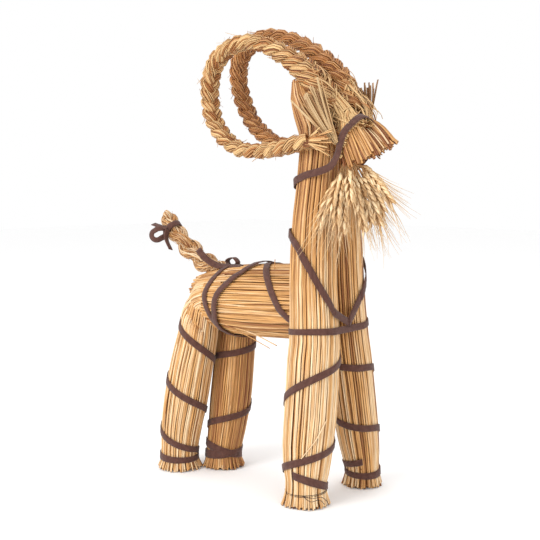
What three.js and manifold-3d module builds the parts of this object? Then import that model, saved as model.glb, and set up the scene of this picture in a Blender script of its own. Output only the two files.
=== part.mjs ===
// A goat of bound straw. Two long bundles make the front legs, the neck and the folded head, one makes the
// trunk and two the hind legs. The horns and the tail are plaits, the beard is bearded wheat, and brown
// ribbon binds it all. Millimetres: +Z is up, +X is the way the goat faces and +Y its left side.
import * as THREE from "three";
import { mergeVertices } from "three/addons/utils/BufferGeometryUtils.js";
import Module from "manifold-3d";

const wasm = await Module();
wasm.setup();

// Overall dimensions
const NECK_HEIGHT = 543; // floor to the fold at the back of the head
const TRUNK_HEIGHT = 251; // floor to the middle of the trunk
const TRUNK_LENGTH = 198; // from inside the neck to the cut ends at the rump
const TRUNK_RADIUS = 51;
const CHEST_HEIGHT = TRUNK_HEIGHT - 33.8; // where the front bundles meet and become the neck
const LEG_RADIUS = 32.5;
const WHEELBASE = 224; // front feet to the middle of the hind feet
const FRONT_STANCE = 116; // between the middles of the two front feet
const HIND_STANCE = 1.508 * LEG_RADIUS; // the same across the hind feet, which all but touch
const HIND_STAGGER = 1.262 * LEG_RADIUS; // how far the left hind foot stands ahead of the right one
const HIND_OFFSET = 33; // how far the hind feet stand to the right of the front ones
const HEAD_LENGTH = 106; // middle of the fold to the cut end of the muzzle
const HEAD_DROP = 53; // how far the muzzle hangs below the fold
const HORN_REACH = 260; // root of a horn to the back of its loop
const HORN_RISE = 155; // lowest to highest point of a horn's loop
const HORN_HALF_WIDTH = 15;
const TAIL_LENGTH = 132;
const TAIL_HALF_WIDTH = 12.5;
const EAR_LENGTH = 84;
const BEARD_LENGTH = 100;
const GRAIN_EAR_RADIUS = 6.5;
const RIBBON_WIDTH = 9;
const RIBBON_THICKNESS = 1;

// Fits and surface
const CLEARANCE = 0.3; // between pieces that touch
const FINEST = 0.08; // details below this are dropped
const RIBBON_GAP = 0.45; // between a ribbon and the straw under it
const UPPER_LAYER = RIBBON_THICKNESS + 3 * CLEARANCE; // how far a ribbon lifts where it crosses another
const LEG_SIDES = 12;
const TRUNK_SIDES = 16;
const GRAIN_SIDES = 5;

const RIGHT = -1;
const LEFT = 1;
const EAR_HALF_WIDTH = { [RIGHT]: 18, [LEFT]: 10 };
const SIDEWAYS = new THREE.Vector3(0, 1, 0);

const finish = (color, roughness) =>
  new THREE.MeshStandardMaterial({ color, roughness, metalness: 0, flatShading: true });
const straw = finish(0xdcb782, 0.75);
const plaitedStraw = finish(0xc48d58, 0.7);
const leafStraw = finish(0xb39a6b, 0.8);
const wheat = finish(0xd3b389, 0.75);
const ribbonCloth = finish(0x5b3d38, 0.85);

const vec = (x, y, z) => new THREE.Vector3(x, y, z);
const radians = THREE.MathUtils.degToRad;

// A closed geometry as a solid that can be cut and joined.
function toSolid(geometry) {
  geometry.deleteAttribute("normal");
  geometry.deleteAttribute("uv");
  const merged = mergeVertices(geometry, 1e-4);
  return new wasm.Manifold(
    new wasm.Mesh({
      numProp: 3,
      vertProperties: merged.attributes.position.array,
      triVerts: new Uint32Array(merged.index.array),
    }),
  );
}

function toMesh(name, solid, material) {
  const { vertProperties, triVerts } = solid.simplify(FINEST).getMesh();
  const geometry = new THREE.BufferGeometry();
  geometry.setAttribute("position", new THREE.BufferAttribute(vertProperties, 3));
  geometry.setIndex(new THREE.BufferAttribute(triVerts, 1));
  const mesh = new THREE.Mesh(geometry, material);
  mesh.name = name;
  return mesh;
}

const joined = (solids) => solids.reduce((whole, next) => whole.add(next));

// Cuts a solid by others and keeps its main body, without the crumbs that a cut can leave.
function cutBy(solid, cutters) {
  const rest = cutters.reduce((left, cutter) => left.subtract(cutter), solid);
  return rest.decompose().reduce((main, body) => (body.volume() > main.volume() ? body : main));
}

// The frame of a path at t: across lies level to the goat's left, outward is square to it and to the path.
function frameOn(path, t) {
  const along = path.getTangent(t);
  const across = SIDEWAYS.clone().addScaledVector(along, -SIDEWAYS.dot(along)).normalize();
  return { centre: path.getPoint(t), along, across, outward: across.clone().cross(along) };
}

// A bundle is an axis with a girth: half depths and half widths at the axis's own stations.
// Each station is [x, y, z, half depth, half width].
function bundle(stations, sides = LEG_SIDES, outline = () => 1) {
  return {
    axis: new THREE.CatmullRomCurve3(stations.map(([x, y, z]) => vec(x, y, z))),
    girth: new THREE.CatmullRomCurve3(stations.map(([, , , depth, width]) => vec(depth, width, 0))),
    rows: stations.length - 1,
    sides,
    outline,
  };
}

// A point on a bundle at t, at an angle from outward towards across, and proud of its skin.
function onBundle({ axis, girth, outline }, t, angle, proud) {
  const { centre, across, outward } = frameOn(axis, t);
  const { x: depth, y: width } = girth.getPoint(t);
  const shape = outline(angle);
  return centre
    .addScaledVector(outward, Math.cos(angle) * (depth * shape + proud))
    .addScaledVector(across, Math.sin(angle) * (width * shape + proud));
}

// The same point on the faceted solid, which runs straight from one row of points to the next.
function onFacets(shape, t, angle, proud) {
  const row = Math.min(Math.floor(t * shape.rows), shape.rows - 1);
  const from = onBundle(shape, row / shape.rows, angle, proud);
  return from.lerp(onBundle(shape, (row + 1) / shape.rows, angle, proud), t * shape.rows - row);
}

// The solid of a bundle: a cylinder drawn over it.
function bundleSolid(shape, grow = 0) {
  const geometry = new THREE.CylinderGeometry(1, 1, 1, shape.sides, shape.rows);
  const places = geometry.attributes.position;
  const point = vec(0, 0, 0);
  for (let i = 0; i < places.count; i++) {
    point.fromBufferAttribute(places, i);
    const t = THREE.MathUtils.clamp(point.y + 0.5, 0, 1);
    if (Math.hypot(point.x, point.z) < 0.5) point.copy(shape.axis.getPoint(t));
    else point.copy(onBundle(shape, t, Math.atan2(point.x, point.z), grow));
    places.setXYZ(i, point.x, point.y, point.z);
  }
  return toSolid(geometry);
}

// A closed or open band whose corner(u, side, lift) gives its edge (side -1 or 1) and face (lift 0 or 1).
function bandSolid(corner, segments, closed) {
  const geometry = closed
    ? new THREE.TorusGeometry(1, 0.1, 4, segments)
    : new THREE.BoxGeometry(1, 1, 1, 1, 1, segments);
  const places = geometry.attributes.position;
  const corners = [[-1, 1], [1, 1], [1, 0], [-1, 0]];
  for (let i = 0; i < places.count; i++) {
    const [u, [side, lift]] = closed
      ? [(i % (segments + 1)) % segments / segments, corners[Math.floor(i / (segments + 1)) % 4]]
      : [places.getZ(i) + 0.5, [Math.sign(places.getX(i)), places.getY(i) > 0 ? 1 : 0]];
    const point = corner(u, side, lift);
    places.setXYZ(i, point.x, point.y, point.z);
  }
  return toSolid(geometry);
}

// A ribbon wound on a bundle, bent only at the bundle's own edges so that it lies flat on each side.
// Its route is [angle in degrees, share of the bundle's length], joined smoothly.
const STEEPEST = 0.5; // keeps the edges of a steep ribbon from running away
function woundRibbon(shape, route, closed, grow = 0, layer = 0) {
  const line = new THREE.CatmullRomCurve3(route.map(([angle, share]) => vec(radians(angle), share, 0)));
  const facet = 360 / shape.sides;
  const [start, end] = [route[0][0], route.at(-1)[0]].map((angle) => Math.round(angle / facet) * facet);
  const segments = Math.round(Math.abs(end - start) / facet);
  const length = shape.axis.getLength();
  // The share of the route at which it reaches an angle, found by halving.
  const reachedAt = (angle) => {
    let [low, high] = [0, 1];
    for (let i = 0; i < 30; i++) {
      const middle = (low + high) / 2;
      if (end > start === line.getPoint(middle).x < angle) low = middle;
      else high = middle;
    }
    return (low + high) / 2;
  };
  const stops = Array.from({ length: segments + 1 }, (_, i) => {
    const angle = radians(THREE.MathUtils.lerp(start, end, i / segments));
    const u = reachedAt(angle);
    const ahead = line.getPoint(Math.min(u + 0.004, 1)).sub(line.getPoint(Math.max(u - 0.004, 0)));
    const run = Math.abs(ahead.x) * shape.girth.getPoint(0.5).y;
    const level = Math.max(run / Math.hypot(run, ahead.y * length), STEEPEST);
    return { angle, share: line.getPoint(u).y, halfWidth: (RIBBON_WIDTH / 2 + grow) / level / length };
  });
  const turn = Math.sign(end - start);
  return bandSolid((u, side, lift) => {
    const { angle, share, halfWidth } = stops[Math.round(u * segments)];
    const t = shape.axis.getUtoTmapping(THREE.MathUtils.clamp(share + turn * side * halfWidth, 0, 1));
    return onFacets(shape, t, angle, RIBBON_GAP + layer + (lift ? RIBBON_THICKNESS + grow : -grow));
  }, segments, closed);
}

// A ribbon through free points, each with the direction that its face looks.
function freeRibbon(stops, segments, closed, grow = 0) {
  const path = new THREE.CatmullRomCurve3(stops.map(([point]) => point), closed);
  const facing = new THREE.CatmullRomCurve3(stops.map(([, face]) => face.clone().normalize()), closed);
  return bandSolid((u, side, lift) => {
    const normal = facing.getPoint(u).normalize();
    const sideways = normal.clone().cross(path.getTangent(u)).normalize();
    return path.getPoint(u)
      .addScaledVector(sideways, side * (RIBBON_WIDTH / 2 + grow))
      .addScaledVector(normal, lift ? RIBBON_THICKNESS + grow : -grow);
  }, segments, closed);
}

// How far a slanting line from the plait's middle runs before it leaves an oval strand, or 0 where it misses.
function exitFrom(strand, direction) {
  const centre = strand.centre.clone().divide(strand.half);
  const ray = direction.clone().divide(strand.half);
  const middle = ray.dot(centre);
  const spare = middle ** 2 - ray.lengthSq() * (centre.lengthSq() - 1);
  return spare < 0 ? 0 : (middle + Math.sqrt(spare)) / ray.lengthSq();
}

// A plait as one skin over three oval strands that cross in turn. size(t) scales it along its path.
const STRANDS = 3;
const PLAIT_SIDES = 12;
const STRAND_SWING = 0.5; // of the half width, as are the four below
const STRAND_WEAVE = 0.32;
const STRAND_HALF_WIDTH = 0.5;
const STRAND_HALF_DEPTH = 0.48;
const PLAIT_CORE = 0.4;
function plaitSolid(path, { halfWidth, periods, rows, size }, grow = 0) {
  const geometry = new THREE.CylinderGeometry(1, 1, 1, PLAIT_SIDES, rows);
  const places = geometry.attributes.position;
  for (let i = 0; i < places.count; i++) {
    const t = THREE.MathUtils.clamp(places.getY(i) + 0.5, 0, 1);
    const { centre, across, outward } = frameOn(path, t);
    const direction = new THREE.Vector2(places.getX(i), places.getZ(i));
    if (direction.length() > 0.5) {
      const scale = size(t) * halfWidth;
      const exits = Array.from({ length: STRANDS }, (_, strand) => {
        const turn = 2 * Math.PI * (periods * t + strand / STRANDS);
        return exitFrom({
          centre: new THREE.Vector2(STRAND_SWING * Math.sin(turn), STRAND_WEAVE * Math.sin(2 * turn)),
          half: new THREE.Vector2(STRAND_HALF_WIDTH, STRAND_HALF_DEPTH),
        }, direction);
      });
      const reach = Math.max(PLAIT_CORE, ...exits) * scale + grow;
      centre.addScaledVector(across, reach * direction.x).addScaledVector(outward, reach * direction.y);
    }
    places.setXYZ(i, centre.x, centre.y, centre.z);
  }
  return toSolid(geometry);
}

// Front bundles: [height, where 0.4 is CHEST_HEIGHT and 1 is NECK_HEIGHT; forward in leg radii; spread from
// touching (0) to the feet (1); half depth and half width in leg radii]
const FRONT_STATIONS = [
  [0, 0, 1, 0.84, 0.84],
  [0.045, 0, 1, 0.8, 0.8],
  [0.085, -0.04, 0.9, 0.91, 0.91],
  [0.14, -0.1, 0.74, 1.0, 1.0],
  [0.24, -0.16, 0.42, 1.04, 1.04],
  [0.33, -0.25, 0.18, 1.03, 1.03],
  [0.4, -0.3, 0.0, 0.98, 0.98],
  [0.5, -0.42, -0.05, 0.94, 0.96],
  [0.6, -0.46, -0.12, 0.91, 0.92],
  [0.7, -0.48, -0.26, 0.86, 0.84],
  [0.8, -0.46, -0.46, 0.84, 0.72],
  [0.875, -0.48, -0.48, 0.84, 0.68],
  [0.93, -0.9, -0.5, 0.76, 0.68],
  [0.96, -1.18, -0.5, 0.6, 0.64],
  [1, -1.4, -0.52, 0.3, 0.5],
];
const HALF_TOUCHING = 0.95; // half the distance between the touching bundles, in leg radii
const MEETING = 0.4;
const heightAt = (rise) => (rise < MEETING
  ? (rise / MEETING) * CHEST_HEIGHT
  : CHEST_HEIGHT + ((rise - MEETING) / (1 - MEETING)) * (NECK_HEIGHT - CHEST_HEIGHT));

function frontBundle(side, thicknessAt) {
  const touching = HALF_TOUCHING * LEG_RADIUS;
  const spreadBy = FRONT_STANCE / 2 - touching;
  return bundle(FRONT_STATIONS.map(([rise, forward, spread, depth, width]) => [
    forward * LEG_RADIUS,
    side * (touching + spread * spreadBy),
    heightAt(rise),
    depth * LEG_RADIUS * thicknessAt(rise),
    width * LEG_RADIUS * thicknessAt(rise),
  ]));
}

// The folded head: [share of HEAD_LENGTH forward, share of HEAD_DROP down, half spacing, half depth and half
// width in leg radii]
const HEAD_STATIONS = [
  [0, 0, 0.5, 0.56, 0.6],
  [0.28, 0.4, 0.52, 0.44, 0.62],
  [0.54, 0.68, 0.52, 0.46, 0.63],
  [0.73, 0.76, 0.52, 0.58, 0.63],
  [1.0, 1.0, 0.52, 0.56, 0.64],
];
const atHead = (x, y, below) => vec(x, y, NECK_HEIGHT - below);
const HEAD_START = atHead(-38, 0, 36);

function headBundle(side) {
  return bundle(HEAD_STATIONS.map(([forward, drop, apart, depth, width]) => [
    HEAD_START.x + forward * HEAD_LENGTH,
    side * apart * LEG_RADIUS,
    HEAD_START.z - drop * HEAD_DROP,
    depth * LEG_RADIUS,
    width * LEG_RADIUS,
  ]));
}

// Everything on the other side of the goat's middle plane, less half a clearance.
function otherSide(side, grow) {
  const size = 4 * NECK_HEIGHT;
  const block = new THREE.BoxGeometry(size, size, size);
  block.translate(0, -side * (size / 2 - CLEARANCE / 2 + grow), 0);
  return toSolid(block);
}

// The left leg is a little thinner than the right one, least so where they meet in the neck.
const frontLegs = {
  [RIGHT]: frontBundle(RIGHT, () => 1.02),
  [LEFT]: frontBundle(LEFT, (rise) => 0.89 + 0.07 * THREE.MathUtils.smoothstep(rise, 0.15, 0.42)),
};

function frontSolid(side, grow = 0) {
  const whole = joined([bundleSolid(frontLegs[side], grow), bundleSolid(headBundle(side), grow)]);
  return whole.subtract(otherSide(side, grow));
}

// Hind bundles: [share of TRUNK_HEIGHT, share of the way from foot to hip, half depth and half width in leg
// radii]
const HIND_STATIONS = [
  [0, 0, 0.85, 0.85],
  [0.09, 0, 0.8, 0.8],
  [0.24, 0.14, 0.88, 0.88],
  [0.42, 0.38, 0.95, 0.95],
  [0.6, 0.6, 0.93, 0.93],
  [0.76, 0.82, 0.88, 0.88],
  [0.93, 1, 0.76, 0.76],
  [1.06, 1.2, 0.46, 0.5],
];
const TRUNK_FRONT = vec(-26, -2, TRUNK_HEIGHT + 3);
const hip = (back, aside) =>
  vec(TRUNK_FRONT.x - back * TRUNK_LENGTH, TRUNK_FRONT.y + aside * LEG_RADIUS, 0);
const HIPS = { [RIGHT]: hip(0.955, -1.108), [LEFT]: hip(0.874, 0.615) };
const SLANT = { [RIGHT]: 1.2, [LEFT]: 0.7 }; // above one, a leg takes most of its slant high up

function hindBundle(side, thickness) {
  const foot = vec(-WHEELBASE + (side * HIND_STAGGER) / 2, -HIND_OFFSET + (side * HIND_STANCE) / 2, 0);
  return bundle(HIND_STATIONS.map(([rise, share, depth, width]) => {
    const { x, y } = foot.clone().lerp(HIPS[side], share ** SLANT[side]);
    return [x, y, rise * TRUNK_HEIGHT, depth * LEG_RADIUS * thickness, width * LEG_RADIUS * thickness];
  }));
}

const hindLegs = { [RIGHT]: hindBundle(RIGHT, 1.02), [LEFT]: hindBundle(LEFT, 0.97) };
const hindSolid = (side, grow = 0) => bundleSolid(hindLegs[side], grow);

// Trunk: [share of TRUNK_LENGTH, share of TRUNK_RADIUS]
const TRUNK_STATIONS = [[0, 1.01], [0.2, 1.0], [0.45, 1.0], [0.7, 0.96], [0.87, 0.86], [1, 0.74]];
const TRUNK_DRIFT = -16; // the rump stands this far to the side of the chest
const TRUNK_SAG = -10;
const trunk = bundle(TRUNK_STATIONS.map(([share, girth]) => [
  TRUNK_FRONT.x - share * TRUNK_LENGTH,
  TRUNK_FRONT.y + share * TRUNK_DRIFT,
  TRUNK_FRONT.z + share * TRUNK_SAG,
  girth * TRUNK_RADIUS,
  girth * TRUNK_RADIUS,
]), TRUNK_SIDES);

// Horn loops, root first: [share of HORN_REACH back, share of HORN_RISE up, sideways in half widths]
const HORN_BASE = atHead(44, 0, 86);
const RIGHT_HORN = [
  [0.0, 0.16, 0.87], [0.11, 0.26, 1.07], [0.19, 0.43, 1.27], [0.27, 0.58, 1.4], [0.37, 0.71, 1.6],
  [0.51, 0.84, 1.8], [0.65, 0.91, 1.93], [0.78, 0.89, 2.07], [0.88, 0.8, 2.13], [0.93, 0.66, 2.27],
  [0.94, 0.49, 2.33], [0.91, 0.29, 2.47], [0.83, 0.12, 2.6], [0.7, 0.0, 2.8], [0.53, -0.03, 3.07],
  [0.38, -0.01, 3.33], [0.23, 0.03, 3.5], [0.1, 0.06, 3.55],
];
const LEFT_HORN = [
  [0.0, 0.17, 0.87], [0.06, 0.28, 1.0], [0.14, 0.4, 1.13], [0.21, 0.57, 1.27], [0.31, 0.72, 1.4],
  [0.455, 0.87, 1.53], [0.63, 0.98, 1.73], [0.78, 1.0, 1.87], [0.91, 0.92, 2.0], [0.97, 0.8, 2.07],
  [0.98, 0.64, 2.13], [0.95, 0.45, 2.2], [0.88, 0.26, 2.2], [0.79, 0.13, 2.2], [0.69, 0.05, 2.27],
  [0.52, 0.03, 2.5], [0.36, 0.04, 3.0], [0.23, 0.06, 3.4], [0.12, 0.06, 3.5],
];
const hornPath = (stops, side) => new THREE.CatmullRomCurve3(stops.map(([back, up, out]) =>
  vec(HORN_BASE.x - back * HORN_REACH, side * out * HORN_HALF_WIDTH, HORN_BASE.z + up * HORN_RISE)));
const hornPaths = { [RIGHT]: hornPath(RIGHT_HORN, RIGHT), [LEFT]: hornPath(LEFT_HORN, LEFT) };
const hornPlait = (flare) => ({
  halfWidth: HORN_HALF_WIDTH,
  periods: 6.5,
  rows: 48,
  size: (t) => 0.95 + flare * Math.exp(-(((t - 0.14) / 0.13) ** 2)),
});
const hornPlaits = { [RIGHT]: hornPlait(0.42), [LEFT]: hornPlait(0.16) };
const hornSolid = (side, grow = 0) => plaitSolid(hornPaths[side], hornPlaits[side], grow);

// Ears: flat fans of leaf straw that rise from the bridle beside the head, widest at the tip.
const EAR_ROOTS = { [RIGHT]: atHead(34, -41.5, 83), [LEFT]: atHead(17, 33, 81) };
const EAR_LEAN = { [RIGHT]: vec(-45, -2, 75), [LEFT]: vec(-13, 18, 83) };
function ear(side) {
  const stops = [[0, 0.3, 0.24], [0.35, 0.62, 0.26], [0.7, 0.88, 0.24], [1, 1, 0.2]];
  const root = EAR_ROOTS[side];
  const lean = EAR_LEAN[side].clone().setLength(EAR_LENGTH);
  return bundle(stops.map(([share, depth, width]) => {
    const bow = side * 4 * Math.sin(Math.PI * share);
    return [root.x + share * lean.x, root.y + share * lean.y + bow, root.z + share * lean.z,
      depth * EAR_HALF_WIDTH[side], width * EAR_HALF_WIDTH[side]];
  }), 8);
}

// Tail, from inside the rump to its tip: [share of TAIL_LENGTH back, share of TAIL_LENGTH up, to the side]
const TAIL_ROOT = vec(TRUNK_FRONT.x - 0.859 * TRUNK_LENGTH, TRUNK_FRONT.y - 12, TRUNK_HEIGHT + 33);
const TAIL_STOPS = [[0, 0, 0], [0.22, 0.08, -1.5], [0.5, 0.25, -3], [0.78, 0.47, -4], [0.88, 0.6, -4]];
const tailPath = new THREE.CatmullRomCurve3(TAIL_STOPS.map(([back, up, aside]) =>
  vec(TAIL_ROOT.x - back * TAIL_LENGTH, TAIL_ROOT.y + aside, TAIL_ROOT.z + up * TAIL_LENGTH)));
const TAIL_PLAIT = {
  halfWidth: TAIL_HALF_WIDTH,
  periods: 1.7,
  rows: 15,
  size: (t) => 1.06 - 0.34 * Math.max(0, (t - 0.55) / 0.45),
};

const tailSolid = (grow = 0) => plaitSolid(tailPath, TAIL_PLAIT, grow);

// The ribbon that ties the tail's end: a ring round it with a loop and two ends on the goat's right.
const TAIL_TIE = 0.79; // where it sits along the tail
function tailRibbon() {
  const { centre, along, across, outward } = frameOn(tailPath, TAIL_TIE);
  const radius = TAIL_HALF_WIDTH * 0.92 + RIBBON_GAP;
  const ring = Array.from({ length: 12 }, (_, i) => {
    const angle = (i / 12) * 2 * Math.PI;
    const face = across.clone().multiplyScalar(Math.sin(angle)).addScaledVector(outward, Math.cos(angle));
    return [centre.clone().addScaledVector(face, radius), face];
  });
  const knot = centre.clone().addScaledVector(across, -radius - 0.5);
  const from = (x, y, z) => knot.clone().add(vec(x, y, z));
  const loop = [
    [from(3, 0.5, 0), vec(0.3, -1, 0)], [from(-12, -5, 5), vec(0.3, -0.6, 0.7)],
    [from(-30, -12, -2), vec(-0.9, -0.3, 0.4)], [from(-27, -12, -12), vec(-0.4, -0.5, -0.8)],
    [from(-12, -6, -8), vec(0.3, -0.6, -0.7)],
  ];
  const backEnd = [
    [from(2, -1, 1), vec(0.2, -1, 0.2)], [from(-14, -4, 7), vec(0.2, -0.8, 0.6)],
    [from(-30, -6, 8), vec(0, -0.6, 0.8)],
  ];
  const lowerEnd = [
    [from(2, -1, -1), vec(0.2, -1, 0)], [from(-3, -5, -14), vec(-0.3, -1, 0)],
    [from(3, -6, -30), vec(-0.2, -1, 0.2)],
  ];
  return joined([
    freeRibbon(ring, 12, true), freeRibbon(loop, 9, true),
    freeRibbon(backEnd, 3, false), freeRibbon(lowerEnd, 3, false),
  ]);
}

// Beard: each ear of wheat hangs from one knot under the chin. [turn from straight ahead, degrees; tilt off
// the vertical, degrees; share of BEARD_LENGTH]
const BEARD_KNOT = atHead(33, -3, 102);
const WHEAT_EARS = [
  [-123, 22, 0.96], [-92, 23, 0.7], [-126, 17, 0.83], [-60, 10, 1.0], [-78, 16, 0.88], [-3, 14, 0.82],
  [9, 21, 0.9], [12, 27, 0.99], [22, 33, 0.84], [19, 44, 0.82], [20, 48, 0.6], [-6, 17, 1.0],
  [-41, 33, 0.64], [60, 26, 0.86], [95, 20, 0.8],
];
function wheatEar([turn, tilt, share]) {
  const length = share * BEARD_LENGTH;
  const stops = [[0, 0.5], [0.25, 0.5], [0.5, 1.0], [0.8, 0.85], [1, 0.3]];
  const heading = radians(turn);
  return bundleSolid(bundle(stops.map(([along, girth]) => {
    const lean = radians(tilt * (1.25 - 0.25 * along));
    const out = along * length * Math.sin(lean);
    return [BEARD_KNOT.x + out * Math.cos(heading), BEARD_KNOT.y + out * Math.sin(heading),
      BEARD_KNOT.z - along * length * Math.cos(lean),
      girth * GRAIN_EAR_RADIUS, girth * GRAIN_EAR_RADIUS];
  }), GRAIN_SIDES));
}
const beardSolid = () => joined(WHEAT_EARS.map((row) => wheatEar(row)));

// The neck as one shape that a ribbon can lie on: a rounded oblong round both bundles, pinched at the crease.
const ROUNDING = 3.3;
const CREASE = 0.1;
const oblong = (angle) => {
  const [level, aside] = [Math.abs(Math.cos(angle)), Math.abs(Math.sin(angle))];
  const flat = (level ** ROUNDING + aside ** ROUNDING) ** (-1 / ROUNDING);
  const fromCrease = aside / 0.25;
  return flat * (1 - CREASE * Math.exp(-(fromCrease ** 2)));
};
const neckPair = bundle(FRONT_STATIONS.slice(6, 12).map(([rise, forward, spread, depth, width]) => {
  const touching = HALF_TOUCHING * LEG_RADIUS;
  const middle = touching + spread * (FRONT_STANCE / 2 - touching);
  return [forward * LEG_RADIUS, 0, heightAt(rise), depth * LEG_RADIUS * 1.06,
    middle + width * LEG_RADIUS * 1.045];
}), 24, oblong);
const legShare = (shape, rise) => (rise * TRUNK_HEIGHT) / shape.axis.getLength();

// The leg ribbons: [angle round the bundle, degrees from ahead; height there as a share of TRUNK_HEIGHT]
const LEG_ROUTES = {
  frontRight: [
    [60, 0.781], [43.5, 0.753], [-46, 0.645], [-136, 0.526], [-226, 0.418], [-316, 0.323],
    [-406, 0.239], [-496, 0.179], [-586, 0.124], [-676, 0.1], [-740, 0.124], [-804, 0.155],
  ],
  frontLeft: [
    [-150, 0.757], [-136, 0.733], [-46, 0.685], [43.5, 0.641], [133, 0.518], [223, 0.418],
    [313, 0.359], [403, 0.303], [493, 0.183], [583, 0.096], [673, 0.072], [763, 0.08], [853, 0.108],
    [943, 0.135], [1033, 0.159],
  ],
  hindRight: [
    [-170, 0.88], [-136, 0.845], [-46, 0.749], [43.5, 0.657], [133, 0.582], [223, 0.514], [313, 0.438],
    [403, 0.363], [493, 0.291], [583, 0.223], [673, 0.155], [763, 0.112], [853, 0.088], [943, 0.076],
    [1033, 0.068], [1123, 0.072], [1213, 0.104], [1290, 0.135],
  ],
  hindLeft: [
    [60, 0.741], [43.5, 0.725], [-46, 0.669], [-136, 0.614], [-226, 0.486], [-316, 0.367],
    [-406, 0.295], [-496, 0.227], [-586, 0.159], [-676, 0.116], [-766, 0.088], [-856, 0.076],
    [-946, 0.068], [-1036, 0.072], [-1126, 0.104], [-1216, 0.135],
  ],
};
const legRibbon = (shape, route) =>
  woundRibbon(shape, route.map(([angle, rise]) => [angle, legShare(shape, rise)]), false);

const CHEST_BAND_HEIGHT = CHEST_HEIGHT + 3.8;
// The crossed neck ribbon dips to the chest in front and climbs both sides to the back of the neck.
const NECK_RIBBON_LOW = CHEST_HEIGHT + 8.8;
const NECK_RIBBON_HIGH = NECK_RIBBON_LOW + 122;
const ringRoute = (passing) => Array.from({ length: 25 }, (_, i) => {
  const angle = -180 + 15 * i;
  return [angle, (passing(angle) - CHEST_HEIGHT) / neckPair.axis.getLength()];
});
const chestBand = (grow = 0) => woundRibbon(neckPair, ringRoute(() => CHEST_BAND_HEIGHT), true, grow);
const neckRibbon = (grow = 0) => woundRibbon(neckPair, ringRoute((angle) => THREE.MathUtils.lerp(
  NECK_RIBBON_LOW, NECK_RIBBON_HIGH, (Math.abs(angle) / 180) ** 0.52)), true, grow, UPPER_LAYER);

// The bridle: round the back of the neck, along each side and over the nose.
function bridle(grow = 0) {
  const half = [
    [atHead(-47, -9, 139), vec(-1, -0.2, 0)], [atHead(-43.5, -32.5, 135), vec(-0.75, -0.65, 0)],
    [atHead(-32, -43.5, 129), vec(-0.35, -0.95, 0)], [atHead(-11, -46.5, 122), vec(0, -1, 0)],
    [atHead(11, -44.5, 117), vec(0.2, -0.95, 0)], [atHead(26, -43, 111), vec(0.15, -0.95, 0)],
    [atHead(35, -42, 99), vec(0, -0.95, 0.1)], [atHead(39, -40.5, 84), vec(0.1, -0.95, 0.2)],
    [atHead(41, -36, 70), vec(0.3, -0.8, 0.5)], [atHead(44, -22, 57), vec(0.45, -0.5, 0.8)],
    [atHead(45, -7, 49), vec(0.5, -0.15, 0.85)],
  ];
  const mirrored = half.map(([point, face]) => [point, face].map((v) => v.clone().multiply(vec(1, -1, 1))));
  return freeRibbon([...half, ...mirrored.reverse()], 34, true, grow);
}

// Ribbons round the trunk: [angle from the top towards the left, degrees; share of its length from the front]
const RUMP_RING = [
  [-180, 0.698], [-148, 0.748], [-115, 0.794], [-78, 0.829], [-64, 0.814], [-34, 0.768], [0, 0.748],
  [60, 0.733], [120, 0.703], [180, 0.698],
];
const SLANT_RING = [
  [-180, 0.663], [-133, 0.753], [-107, 0.728], [-84, 0.703], [-73, 0.673], [-61, 0.623],
  [-50, 0.578], [-36, 0.522], [5, 0.462], [60, 0.492], [120, 0.573], [180, 0.663],
];
const WITHERS_ARC = [
  [-114, 0.065], [-99, 0.131], [-82, 0.181], [-59, 0.251], [-30, 0.342], [-2, 0.402], [40, 0.342],
  [80, 0.201], [101, 0.141],
];
const trunkRibbon = (stops, closed, layer = 0) => woundRibbon(trunk, stops, closed, 0, layer);

// What stands up from the rump ring: a small loop, and a tail that runs back over the root of the tail.
const KNOT_PLACE = 0.769; // share of the trunk's length
function rumpKnot() {
  const top = onBundle(trunk, trunk.axis.getUtoTmapping(KNOT_PLACE), 0, 0);
  const from = (x, y, z) => top.clone().add(vec(x, y, z));
  const loop = [
    [from(0, 6.4, 0.8), vec(0, 0, -1)], [from(8, 6.4, 5.2), vec(1, 0, 0.2)],
    [from(2, 6.4, 10.7), vec(0, 0, 1)], [from(-7, 6.4, 6.2), vec(-1, 0, 0.4)],
  ];
  const strip = [
    [from(8, 12.4, 1.2), vec(0.1, 0, 1)], [from(-7, 5.4, 2.2), vec(0, 0, 1)],
    [from(-24, -1.6, 6.2), vec(0, -0.2, 1)], [from(-40, -9.6, 9.2), vec(0, -0.5, 1)],
  ];
  return joined([freeRibbon(loop, 8, true), freeRibbon(strip, 4, false)]);
}

const group = new THREE.Group();
const frontSolids = { [RIGHT]: frontSolid(RIGHT), [LEFT]: frontSolid(LEFT) };
group.add(toMesh("front_right_bundle", frontSolids[RIGHT], straw));
group.add(toMesh("front_left_bundle", frontSolids[LEFT], straw));
group.add(toMesh("hind_right_bundle", hindSolid(RIGHT), straw));
group.add(toMesh("hind_left_bundle", hindSolid(LEFT), straw));

const frontSkins = [frontSolid(RIGHT, CLEARANCE), frontSolid(LEFT, CLEARANCE)];
const hindSkins = [hindSolid(RIGHT, CLEARANCE), hindSolid(LEFT, CLEARANCE)];
const neckRibbonSkins = [chestBand(CLEARANCE), neckRibbon(CLEARANCE)];
const bridleSkin = bridle(CLEARANCE);
const trunkSkin = bundleSolid(trunk, CLEARANCE);

group.add(toMesh("trunk_bundle",
  cutBy(bundleSolid(trunk), [...frontSkins, ...hindSkins, ...neckRibbonSkins]), straw));
group.add(toMesh("tail_plait", cutBy(tailSolid(), [trunkSkin, ...hindSkins]), straw));

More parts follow.
